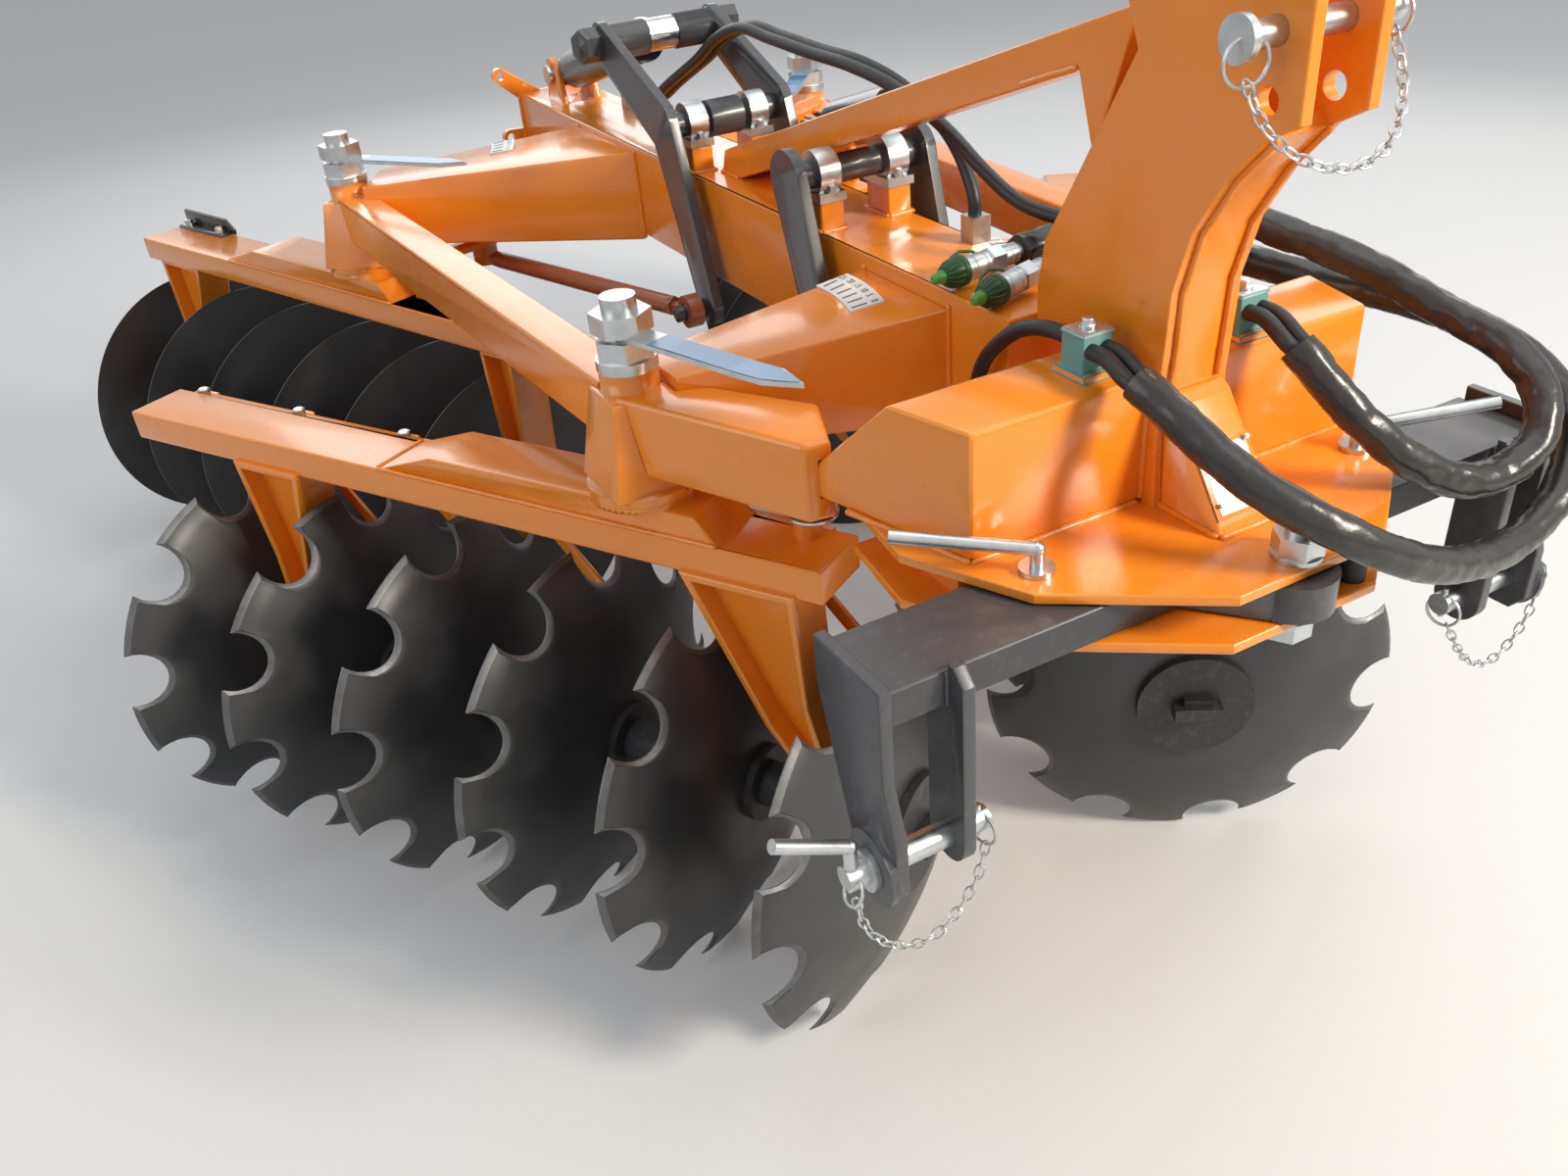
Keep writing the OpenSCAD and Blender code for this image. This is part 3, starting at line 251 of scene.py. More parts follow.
class Shader(NodeMaker):
    # one material, whose patterns read Object coordinates, in metres
    def __init__(self, name):
        self.material = bpy.data.materials.new(name)
        self.material.use_nodes = True
        super().__init__(self.material.node_tree)
        self.surface = next(n for n in self.tree.nodes if n.type == "BSDF_PRINCIPLED")
        self.place = self.add("ShaderNodeTexCoord").outputs["Object"]

    def set(self, **inputs):
        for key, value in inputs.items():
            self.feed(self.surface.inputs[key.replace("_", " ")], value)

    def noise(self, scale, detail=3.0, rough=0.5):
        node = self.add("ShaderNodeTexNoise", Vector=self.place, Scale=scale, Detail=detail, Roughness=rough)
        return node.outputs["Fac"]

    def ramp(self, value, low, high):
        node = self.add("ShaderNodeValToRGB", Fac=value)
        for element, position, shade in zip(node.color_ramp.elements, (low, high), (0, 1)):
            element.position = position
            element.color = (shade, shade, shade, 1)
        return node.outputs["Color"]

    def mix(self, factor, a, b):
        node = self.add("ShaderNodeMix", {"data_type": "RGBA"})
        for index, value in ((0, factor), (6, a), (7, b)):
            self.feed(node.inputs[index], value)
        return node.outputs[2]

    def share(self, value, part, base=0.0):
        # base plus a part of a pattern
        return self.math("ADD", self.math("MULTIPLY", value, part), base)

    def bump(self, height, distance, strength=0.5):
        node = self.add("ShaderNodeBump", Height=height, Distance=distance, Strength=strength)
        self.set(Normal=node.outputs["Normal"])


# Sprayed paints: colour, deeper shade, roughness, clear gloss, peel in metres, colour and share of dust
paints = {
    "orange": ((0.93, 0.285, 0.014), (0.84, 0.215, 0.012), 0.27, 0.55, 0.00012, (0.62, 0.50, 0.36), 0.10),
    "darkGrey": ((0.058, 0.058, 0.063), (0.036, 0.036, 0.040), 0.40, 0.25, 0.0002, (0.30, 0.28, 0.25), 0.16),
    "axle": ((0.022, 0.023, 0.026), (0.012, 0.012, 0.014), 0.5, 0.1, 0.0003, (0.30, 0.26, 0.21), 0.2),
    "cylinder": ((0.012, 0.012, 0.014), (0.006, 0.006, 0.007), 0.3, 0.5, 0.0001, (0.25, 0.24, 0.22), 0.08),
    "tie": ((0.42, 0.105, 0.03), (0.25, 0.06, 0.025), 0.36, 0.35, 0.0002, (0.45, 0.36, 0.28), 0.2),
}
paintLook = {"patch": 3.5, "patchShare": 0.35, "speck": 60, "smear": 14, "smearShare": 0.16, "coat": 0.12,
             "peel": 420}


def paint(name, color, dark, rough, gloss, peel, dust, dusty):
    # slow shade changes, fine peel and a little settled dust
    s = Shader(name)
    part, smear = paintLook["patchShare"], paintLook["smearShare"]
    patches = s.share(s.ramp(s.noise(paintLook["patch"], 4), 0.3, 0.75), part, 1 - part)
    specks = s.math("MULTIPLY", s.ramp(s.noise(paintLook["speck"], 6, 0.7), 0.52, 0.78), dusty)
    s.set(Base_Color=s.mix(specks, s.mix(patches, dark, color), dust),
          Roughness=s.share(s.noise(paintLook["smear"], 5), smear, rough - smear / 2),
          Coat_Weight=gloss, Coat_Roughness=paintLook["coat"])
    s.bump(s.noise(paintLook["peel"], 2), peel, 0.6)
    return s.material


# Dip paint of the blades: three shades, lowest roughness and its spread, clear gloss and bump
dipped = {"color": (0.040, 0.040, 0.041), "dark": (0.027, 0.027, 0.028), "rubbed": (0.070, 0.071, 0.074),
          "rough": 0.30, "roughShare": 0.22, "gloss": 0.15, "coat": 0.3, "bump": 0.00025}


def bladePaint(name):
    # thin black dip paint over pressed steel, with greyer rubbed patches
    s = Shader(name)
    rubbed = s.math("MULTIPLY", s.ramp(s.noise(9, 6, 0.62), 0.48, 0.74), 0.5)
    s.set(Base_Color=s.mix(rubbed, s.mix(s.noise(2.5, 3), dipped["dark"], dipped["color"]), dipped["rubbed"]),
          Roughness=s.share(s.noise(22, 5), dipped["roughShare"], dipped["rough"]),
          Coat_Weight=dipped["gloss"], Coat_Roughness=dipped["coat"])
    s.bump(s.noise(160, 4), dipped["bump"])
    return s.material


# Plated or bare metals: name, colour, cloudy tint, lowest roughness and the fineness of the grain
metals = {
    "zinc": ("brightZinc", (0.60, 0.62, 0.63), (0.48, 0.50, 0.50), 0.20, 500),
    "edge": ("groundEdge", (0.17, 0.17, 0.175), (0.1224, 0.1224, 0.126), 0.36, 900),
    "chrome": ("rodChrome", (0.72, 0.73, 0.74), (0.5184, 0.5256, 0.5328), 0.04, 900),
    "plate": ("dataPlate", (0.66, 0.67, 0.68), (0.4752, 0.4824, 0.4896), 0.28, 700),
}


def metal(name, color, tint, rough, grain):
    s = Shader(name)
    s.set(Base_Color=s.mix(s.ramp(s.noise(38, 4), 0.35, 0.7), color, tint), Metallic=1.0,
          Roughness=s.share(s.noise(90, 4), 0.25, rough))
    s.bump(s.noise(grain, 3), 0.00012)
    return s.material


# Rubbers and the sleeves' film: name, colour, lowest roughness and depth of the bump in metres
rubbers = {
    "hose": ("hoseRubber", (0.008, 0.008, 0.009), 0.35, 0.0003),
    "sleeve": ("sleeveFilm", (0.020, 0.0185, 0.017), 0.17, 0.0012),
    "rubber": ("stopRubber", (0.010, 0.010, 0.010), 0.5, 0.0003),
}


def rubber(name, color, rough, depth):
    s = Shader(name)
    s.set(Base_Color=s.mix(s.noise(25, 5), color, [c * 2.2 for c in color]),
          Roughness=s.share(s.noise(40, 4), 0.2, rough))
    s.bump(s.noise(55, 5, 0.6), depth, 0.7)
    return s.material


# Films, inks and mouldings: name, both shades, roughness, then where they differ scale and depth of the bump
films = {
    "scale": ("scaleFilm", (0.80, 0.80, 0.77), (0.70, 0.70, 0.67), 0.35, 30, 0),
    "ink": ("scaleInk", (0.012, 0.012, 0.014), (0.0096, 0.0096, 0.0112), 0.4),
    "blueFilm": ("pointerFilm", (0.16, 0.30, 0.48), (0.128, 0.24, 0.384), 0.22),
    "cap": ("greenCap", (0.010, 0.075, 0.018), (0.008, 0.06, 0.0144), 0.42),
    "capTip": ("greenCapTip", (0.09, 0.42, 0.06), (0.072, 0.336, 0.048), 0.35),
    "clamp": ("clampBlock", (0.13, 0.34, 0.31), (0.104, 0.272, 0.248), 0.5),
}


def film(name, color, second, rough, scale=40, depth=0.0001):
    s = Shader(name)
    s.set(Base_Color=s.mix(s.noise(scale, 4), color, second), Roughness=rough)
    if depth:
        s.bump(s.noise(220, 3), depth)
    return s.material


materials = {key: paint(key + "Paint", *row) for key, row in paints.items()}
materials["blade"] = bladePaint("bladePaint")
for make, table in ((metal, metals), (rubber, rubbers), (film, films)):
    materials.update({key: make(*row) for key, row in table.items()})

slotFinish = {
    "frame_orange": "orange", "dark_grey": "darkGrey", "zinc": "zinc", "rod_chrome": "chrome",
    "cylinder_black": "cylinder", "scale_white": "scale", "black_rubber": "rubber", "tie_orange": "tie",
    "blade_black": "blade", "axle_black": "axle", "cap_green": "cap", "sleeve_black": "sleeve",
}


def dressNodes():
    # every carried-over node takes the finish of its slot
    for node, slot in slotOf.items():
        nodes[node].data.materials.clear()
        nodes[node].data.materials.append(materials[slotFinish[slot]])


dressNodes()
print("finishes made")


def linkPiece(name, mesh, body, slotName, angle=35, covers=()):
    # a finished mesh becomes a piece: smooth up to an angle, riding on its body
    mesh.shade_smooth()
    mesh.set_sharp_from_angle(angle=radians(angle))
    obj = addObject(name, mesh)
    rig.ride(obj, body)
    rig.slot(obj, slotName)
    if covers:
        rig.replaces(obj, *covers)
    return obj


def keep(name, build, body, slotName, finishes, angle=35, covers=(), merge=0.00001, outward=True):
    # a built shape becomes a piece, with its finishes in the order of their indices
    if merge:
        bmesh.ops.remove_doubles(build, verts=build.verts, dist=merge)
    if outward:
        bmesh.ops.recalc_face_normals(build, faces=build.faces)
    mesh = bpy.data.meshes.new(name)
    build.to_mesh(mesh)
    build.free()
    for finish in finishes:
        mesh.materials.append(materials[finish])
    return linkPiece(name, mesh, body, slotName, angle, covers)


def bridge(build, p, q, material=0):
    # faces between two rings of equally many points
    for k in range(len(p)):
        j = (k + 1) % len(p)
        build.faces.new((p[k], p[j], q[j], q[k])).material_index = material


def skin(build, rings, material=0):
    # faces from ring to ring, and over both ends
    for p, q in zip(rings, rings[1:]):
        bridge(build, p, q, material)
    for end in (rings[0][::-1], rings[-1]):
        build.faces.new(end).material_index = material


def alongPath(path):
    # each point with the two directions across it, carried along the path without a twist
    side = (path[1] - path[0]).normalized().orthogonal().normalized()
    for i, point in enumerate(path):
        heading = (path[min(i + 1, len(path) - 1)] - path[max(i - 1, 0)]).normalized()
        side = (side - heading * side.dot(heading)).normalized()
        yield point, side, heading.cross(side)


# Folds of the film: how many along and round it, a finer set and its share, and how far they sink and rise
folds = {"along": 44, "around": 1.4, "finer": 2.3, "finerShare": 0.5,
         "middle": 0.985, "sunk": -1.5, "risen": 0.3}


def foldAt(run, angle, depth):
    across = folds["around"]
    spot = Vector((run * folds["along"], cos(angle) * across, sin(angle) * across))
    fold = noise.noise(spot) + folds["finerShare"] * noise.noise(spot * folds["finer"])
    return folds["middle"] + depth * max(folds["sunk"], min(folds["risen"], fold))


def tube(build, path, radius, around=20, crinkle=0.0, material=0):
    # a closed tube along a path; crinkle folds a film sleeve
    rings, run, last = [], 0.0, path[0]
    for point, side, other in alongPath(path):
        run += (point - last).length
        last = point
        rings.append([build.verts.new(point + (side * cos(a) + other * sin(a)) * radius
                                      * (foldAt(run, a, crinkle) if crinkle else 1)) for a in turns(around)])
    skin(build, rings, material)


def turned(build, profile, place, heading, around=32, material=0):
    # a turned solid about a line, from its profile in millimetres as (distance along, radius)
    turn = Matrix.Translation(place) @ heading.to_track_quat("Z", "X").to_matrix().to_4x4()
    rings = [[build.verts.new(turn @ Vector((r / 1000 * cos(a), r / 1000 * sin(a), z / 1000)))
              for a in turns(around)] for z, r in profile]
    skin(build, rings, material)


def slab(build, corners, thickness, material=0, soft=0.0):
    # a thin plate from its corner points, thickened along its own normal, with softened edges
    verts = [build.verts.new(p) for p in corners]
    face = build.faces.new(verts)
    face.normal_update()
    tops = [build.verts.new(v.co + face.normal * thickness) for v in verts]
    made = [face, build.faces.new(tops)]
    for k in range(len(verts)):
        j = (k + 1) % len(verts)
        made.append(build.faces.new((verts[k], verts[j], tops[j], tops[k])))
    for f in made:
        f.material_index = material
    if soft:
        bmesh.ops.bevel(build, geom=list({e for f in made for e in f.edges}), offset=soft,
                        offset_type="OFFSET", segments=2, profile=0.5, affect="EDGES")


def rectangle(x, y, dx, dy, z):
    return [(x - dx, y - dy, z), (x + dx, y - dy, z), (x + dx, y + dy, z), (x - dx, y + dy, z)]


# The run that both rear hoses share, as (y, z) in millimetres
rearRun = [(1480, 985), (1460, 985), (1400, 1000), (1320, 1036), (1240, 1070), (1170, 1100), (1090, 1140),
           (1000, 1166), (890, 1162), (770, 1156), (650, 1152)]
# Cords: the routes of the hoses, in millimetres from the hitch datum
cords = {
    "outerSleeve": {"node": "outer_sleeve", "diameter": 0.040, "crinkle": 0.09, "route": [
        [-90, -60, 988], [-90, -80, 988], [-98, -120, 981], [-88, -170, 955], [-58, -245, 905],
        [-5, -308, 862], [70, -330, 815], [150, -328, 776], [235, -318, 752], [320, -304, 750],
        [390, -286, 775], [432, -255, 822], [442, -200, 866], [432, -130, 895], [404, -50, 915],
        [360, 40, 925], [300, 110, 948], [200, 165, 978], [110, 187, 986], [60, 189, 986], [30, 180, 986]]},
    "innerSleeve": {"node": "inner_sleeve", "diameter": 0.040, "crinkle": 0.14, "route": [
        [104, -80, 988], [104, -100, 988], [102, -135, 973], [118, -172, 934], [150, -208, 885],
        [200, -238, 838], [258, -256, 808], [312, -262, 804], [358, -264, 826], [390, -236, 866],
        [396, -180, 902], [382, -110, 925], [344, -20, 966], [292, 60, 998], [240, 140, 1022],
        [190, 212, 1022], [115, 248, 992], [64, 249, 986], [40, 246, 986]]},
    "rearHoseOne": {"node": "rear_hose_1", "diameter": 0.018, "crinkle": 0.0, "route": [
        *([50, y, z] for y, z in rearRun), [50, 545, 1140], [50, 470, 1122], [50, 400, 1098],
        [52, 330, 1064], [62, 270, 1036], [80, 200, 1026], [92, 120, 1022], [94, 30, 1008],
        [94, -24, 988], [94, -44, 988]]},
    "rearHoseTwo": {"node": "rear_hose_2", "diameter": 0.018, "crinkle": 0.0, "route": [
        *([72, y, z] for y, z in rearRun), [72, 545, 1134], [72, 480, 1110], [70, 425, 1080],
        [66, 388, 1046], [64, 370, 1014], [64, 370, 1000]]},
    "feedHose": {"node": "feed_hose", "diameter": 0.018, "crinkle": 0.0, "route": [
        [-90, -24, 988], [-90, -8, 988], [-92, 24, 986], [-94, 62, 974], [-96, 98, 948],
        [-96, 130, 912], [-96, 144, 870], [-96, 144, 850]]},
}


def smoothRoute(route, step=0.005):
    # a smooth line through the points of a route, with tangents weighted by the spacing
    points = [mm(*p) for p in route]
    spans = [(b - a).length for a, b in zip(points, points[1:])]
    slopes = [(b - a) / d for a, b, d in zip(points, points[1:], spans)]
    inner = [(slopes[i - 1] * spans[i] + slopes[i] * spans[i - 1]) / (spans[i - 1] + spans[i])
             for i in range(1, len(slopes))]
    tangents = [slopes[0], *inner, slopes[-1]]
    path = []
    for i, span in enumerate(spans):
        count = max(2, round(span / step))
        for t in (k / count for k in range(count)):
            path.append(points[i] * (2 * t ** 3 - 3 * t ** 2 + 1)
                        + tangents[i] * span * (t ** 3 - 2 * t ** 2 + t)
                        + points[i + 1] * (3 * t ** 2 - 2 * t ** 3)
                        + tangents[i + 1] * span * (t ** 3 - t ** 2))
    return path + [points[-1]]


# Quick couplers in their dust caps: sides, finish and profile of each turned part, in millimetres
coupler = {
    "finishes": ("zinc", "cap", "capTip"),
    "ferrule": (32, 0, [(0, 12), (2, 13), (8, 13), (9, 11.8), (11, 11.8), (12, 13), (18, 13), (19, 11.8),
                        (21, 11.8), (22, 13), (30, 13)]),
    "hexagon": (6, 0, [(30, 15.4), (32, 17.6), (52, 17.6), (54, 15.4)]),
    "sleeve": (40, 0, [(54, 13), (56, 14.8), (61, 14.8), (62, 13.8), (64, 13.8), (65, 14.8), (78, 14.8),
                       (79, 13.8), (81, 13.8), (82, 14.8), (94, 14.8), (96, 13)]),
    "cap": (48, 1, [(92, 16.4), (93, 18.9), (99, 18.9), (100.5, 17.4), (112, 16.6), (121, 11.0), (124, 8.5)]),
    "tip": (24, 2, [(123, 7.6), (124, 8.3), (132, 7.2), (138, 5.6), (140, 3.5)]),
    "ribs": 16, "ribRadius": 1.4, "ribLine": [(100, 17.0), (112, 16.2), (122, 10.2)],
    "strapRadius": 2.2,
    "strapLine": [(0, 18.5, 96), (0, 26, 92), (4, 34, 80), (8, 36, 64), (6, 30, 50), (0, 18, 44)],
}


def makeCoupler(name, route):
    # goes on from the end of a hose's route, in the same direction
    place = mm(*route[-1])
    heading = (place - mm(*route[-2])).normalized()
    turn = Matrix.Translation(place) @ heading.to_track_quat("Z", "X").to_matrix().to_4x4()
    build = bmesh.new()
    for part in ("ferrule", "hexagon", "sleeve", "cap", "tip"):
        around, finish, profile = coupler[part]
        turned(build, profile, place, heading, around, finish)
    for a in turns(coupler["ribs"]):
        rib = [turn @ (Vector((r * cos(a), r * sin(a), z)) / 1000) for z, r in coupler["ribLine"]]
        tube(build, rib, coupler["ribRadius"] / 1000, 6, material=1)
    line = [turn @ (Vector(p) / 1000) for p in coupler["strapLine"]]
    strap = [line[0]] + [a.lerp(b, t) for a, b in zip(line, line[1:]) for t in (0.5, 1.0)]
    tube(build, strap, coupler["strapRadius"] / 1000, 8, material=1)
    return keep(name, build, "frame", "cap_green", coupler["finishes"], 30, ("hose_couplers",))


# The two hoses between a clamp and the film: bare and covered points of the route, then metres
hosePair = {"bare": 14, "covered": 8, "apart": 0.0095, "squeezed": 0.85, "radius": 0.0088}


def addSleeve(build, path, radius, crinkle):
    bare = hosePair["bare"]
    across = (path[bare] - path[0]).normalized().cross(upward).normalized() * hosePair["apart"]
    for turn in (-1, 1):
        line = [p + across * turn * (1 if i < bare else hosePair["squeezed"])
                for i, p in enumerate(path[:bare + hosePair["covered"]])]
        tube(build, line, hosePair["radius"], 14, material=1)
    tube(build, path[bare:], radius, 28, crinkle)


def makeCords():
    for name, c in cords.items():
        path = smoothRoute(c["route"])
        build = bmesh.new()
        if c["crinkle"]:
            addSleeve(build, path, c["diameter"] / 2, c["crinkle"])
            finishes, ends = ("sleeve", "hose"), [makeCoupler(name.replace("Sleeve", "Coupler"), c["route"])]
        else:
            tube(build, path, c["diameter"] / 2, 18)
            finishes, ends = ("hose",), []
        obj = keep(name, build, "frame", slotOf[c["node"]], finishes, 60, (c["node"],), merge=0)
        length = sum((b - a).length for a, b in zip(path, path[1:]))
        print("cord", name, round(length, 3))
        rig.cord(obj, exit=path[0], length=length, diameter=c["diameter"], stiffness="stiff",
                far_end="connector" if ends else "object", lay="hanging", path=path, with_pieces=ends)


makeCords()
print("cords made")

# Disc blades, in metres: dished, the front ones notched, each with a ground edge
blades = {
    "rim": 0.300, "crown": 0.062, "dish": 0.065, "thick": 0.006, "edge": 0.0018, "bore": 0.026,
    "pitch": 0.235, "count": 6, "notches": 10, "notch": 0.045, "notchAt": 0.288, "band": 0.006,
    "notchSteps": 8, "rimSteps": 6, "plainSteps": 120, "round": 0.205, "between": (0.3, 0.65),
    "rings": (0.170, 0.135, 0.100, 0.062), "axleY": 0.020, "axleZ": 0.300,
}
# Gangs: pivot and first blade in millimetres, sweep when folded and turn of each notched blade in degrees
gangs = {
    "front": {"pivot": (-430, 410), "sweep": 58.5, "firstRim": -310, "phases": (-5, 13, -5, 13, -5, 13)},
    "rear": {"pivot": (-512, 1634), "sweep": 67.5, "firstRim": -375, "phases": None},
}


def gangPlace(end, side):
    # from a gang's own frame (x outboard along it, origin under the pivot) to the part's frame
    turn = Matrix.Translation(mm(*gangs[end]["pivot"], 0))
    turn = turn @ Matrix.Rotation(radians(180 - gangs[end]["sweep"]), 4, "Z")
    return turn if side == "right" else Matrix.Scale(-1, 4, (1, 0, 0)) @ turn


def onGang(end, side, points):
    # points given in millimetres in a gang's own frame
    place = gangPlace(end, side)
    return [place @ Vector((x / 1000, y / 1000, z / 1000)) for x, y, z in points]


def dishAt(radius):
    share = max(0.0, (radius - blades["crown"]) / (blades["rim"] - blades["crown"]))
    return -blades["dish"] * (1 - share ** 2)


def notchCorner(rim, cut):
    # where a notch of radius cut meets a rim: the angle there about the notch, and about the blade
    at = blades["notchAt"]
    swing = acos((at * at + cut * cut - rim * rim) / (2 * at * cut))
    return swing, atan2(cut * sin(swing), at - cut * cos(swing))


def notchedLoop(rim, cut, phase):
    # one line round a notched blade as (radius, angle), and the angles that a plain ring has beside it
    at, count, rimSteps = blades["notchAt"], blades["notchSteps"], blades["rimSteps"]
    step = 2 * pi / blades["notches"]
    fullSwing, fullTurn = notchCorner(blades["rim"], blades["notch"])
    swingMax, turnMax = notchCorner(rim, cut)
    loop, plain = [], []
    for i in range(blades["notches"]):
        middle = phase + (i + 0.5) * step
        for k in range(-count, count + 1):
            swing = max(-swingMax, min(swingMax, k / count * fullSwing))
            x, y = at - cut * cos(swing), cut * sin(swing)
            loop.append((hypot(x, y), middle + atan2(y, x)))
            plain.append(middle + k / count * fullTurn)
        for k in range(1, rimSteps):
            turn = fullTurn + (step - 2 * fullTurn) * k / rimSteps
            loop.append((rim, middle + max(turnMax, min(step - turnMax, turn))))
            plain.append(middle + turn)
    return loop, plain


def addBlade(build, place, phase, flip):
    b = blades
    if phase is None:
        angles = turns(b["plainSteps"])
        outer = [(b["rim"], a) for a in angles]
        band = [(b["rim"] - b["band"], a) for a in angles]
    else:
        outer, angles = notchedLoop(b["rim"], b["notch"], radians(phase))
        band = notchedLoop(b["rim"] - b["band"], b["notch"] + b["band"], radians(phase))[0]
    inner = [(b["round"], a) for a in angles]
    between = [[(p[0] * (1 - t) + q[0] * t, p[1] * (1 - t) + q[1] * t) for p, q in zip(band, inner)]
               for t in b["between"]]
    loops = [outer, band, *between, inner] + [[(r, a) for a in angles] for r in (*b["rings"], b["bore"])]
    faces = []
    for convex in (False, True):
        rows = []
        for level, loop in enumerate(loops):
            back = 0 if not convex else (b["edge"] if level == 0 else b["thick"])
            spots = [(flip * (dishAt(r) - back), r * sin(a), -r * cos(a)) for r, a in loop]
            rows.append([build.verts.new(place @ Vector(p)) for p in spots])
        for level, (p, q) in enumerate(zip(rows, rows[1:])):
            bridge(build, p, q, 1 if convex and level == 0 else 0)
        faces.append(rows)
    for level in (0, -1):
        bridge(build, faces[0][level], faces[1][level], 1 if level == 0 else 0)


def makeBlades():
    for end, g in gangs.items():
        for side in sides:
            build = bmesh.new()
            for i in range(blades["count"]):
                hub = Vector((g["firstRim"] / 1000 + i * blades["pitch"], blades["axleY"], blades["axleZ"]))
                place = gangPlace(end, side) @ Matrix.Translation(hub)
                addBlade(build, place, g["phases"][i] if g["phases"] else None, 1 if end == "front" else -1)
            node = end + "_discs_" + side
            keep(end + "Blades" + side.capitalize(), build, bodyOf[node], "blade_black",
                 ("blade", "edge"), 32, (node,), merge=0.00002)


makeBlades()
print("blades made")

# Plates and castings with their real rounded edges, in metres: width, and the least length of a rounded edge
softened = (
    (0.004, 0.030, ("main_beam", "arms")), (0.003, 0.030, ("rear_plate", "mast_brace")),
    (0.006, 0.030, ("side_tubes",)), (0.004, 0.020, ("turrets",)), (0.007, 0.030, ("cross_body",)),
    (0.0025, 0.025, ("upper_plate", "lower_plate")), (0.0025, 0.030, ("mast",)),
    (0.0025, 0.020, ("link_plates", "front_rocker", "rear_rocker")),
    (0.0035, 0.030, ("crossbar", "front_gang_right", "front_gang_left", "rear_gang_right", "rear_gang_left")),
)
unmerged = ("main_beam",)  # its faces have holes, so its triangles aren't merged into whole faces
softening = {"leastAngle": 0.6, "leastArea": 0.0002, "flat": 0.6}  # radians, square metres, degrees


def merged(node):
    # a clean copy of a solid's mesh, with its flat triangles merged into whole faces
    build = bmesh.new()
    build.from_mesh(nodes[node].data)
    bmesh.ops.remove_doubles(build, verts=build.verts, dist=0.00002)
    if node not in unmerged:
        flat = radians(softening["flat"])
        bmesh.ops.dissolve_limit(build, angle_limit=flat, verts=build.verts, edges=build.edges)
    return build


def soften(node, width, least):
    build = merged(node)
    chosen = [e for e in build.edges if len(e.link_faces) == 2 and e.calc_length() > least
              and e.calc_face_angle(0) > softening["leastAngle"] and e.is_convex
              and min(f.calc_area() for f in e.link_faces) > softening["leastArea"]]
    bmesh.ops.bevel(build, geom=chosen, offset=width, offset_type="OFFSET", segments=3, profile=0.5,
                    affect="EDGES", clamp_overlap=False, miter_outer="SHARP")
    bmesh.ops.triangulate(build, faces=[f for f in build.faces if len(f.verts) > 4])
    first, *rest = node.split("_")
    keep(first + "".join(word.capitalize() for word in rest), build, bodyOf[node], slotOf[node],
         (slotFinish[slotOf[node]],), 20, (node,), merge=0, outward=False)


for width, least, group in softened:
    for node in group:
        soften(node, width, least)
print("castings made")


class GrowTree(NodeMaker):
    # a small node tree that puts one shape on every point, with its sizes as named inputs
    def __init__(self, name, sizes):
        super().__init__(bpy.data.node_groups.new(name, "GeometryNodeTree"))
        face = self.tree.interface
        face.new_socket(name="Geometry", in_out="INPUT", socket_type="NodeSocketGeometry")
        self.keys = {}
        for label, value in sizes.items():
            socket = face.new_socket(name=label, in_out="INPUT", socket_type="NodeSocketFloat")
            socket.default_value = value
            self.keys[label] = socket.identifier
        finish = face.new_socket(name="Material", in_out="INPUT", socket_type="NodeSocketMaterial")
        self.keys["Material"] = finish.identifier
        face.new_socket(name="Geometry", in_out="OUTPUT", socket_type="NodeSocketGeometry")
        self.start = self.tree.nodes.new("NodeGroupInput").outputs
        self.end = self.tree.nodes.new("NodeGroupOutput").inputs[0]

    def geo(self, kind, props=None, **inputs):
        # the first output of a new geometry node
        return self.add("GeometryNode" + kind, props, **inputs).outputs[0]

    def moved(self, geometry, height):
        up = self.add("ShaderNodeCombineXYZ", Z=height).outputs[0]
        return self.geo("Transform", Geometry=geometry, Translation=up)

    def join(self, *parts):
        node = self.add("GeometryNodeJoinGeometry")
        for part in parts:
            self.feed(node.inputs[0], part)
        return node.outputs[0]

    def circle(self, resolution, radius):
        return self.geo("CurvePrimitiveCircle", {"mode": "RADIUS"}, Resolution=resolution, Radius=radius)

    def alongAxis(self, own):
        # turns a shape's own axis to the "axis" attribute of its point
        named = self.add("GeometryNodeInputNamedAttribute", {"data_type": "FLOAT_VECTOR"}, Name="axis")
        turn = self.add("FunctionNodeAlignRotationToVector", {"axis": own}, Vector=named.outputs["Attribute"])
        return turn.outputs[0]

    def finish(self, points, shape, turn):
        placed = self.geo("InstanceOnPoints", Points=points, Instance=shape, Rotation=turn)
        whole = self.geo("RealizeInstances", Geometry=placed)
        self.feed(self.end, self.geo("SetMaterial", Geometry=whole, Material=self.start["Material"]))
        return self


# Proportions of a bolt: half widths as shares of the width across flats, and thicknesses in metres
boltShape = {"corner": 0.5774, "crownTop": 0.42, "crownFoot": 0.5, "crown": 0.0016, "washer": 0.0025,
             "sink": 0.0001}


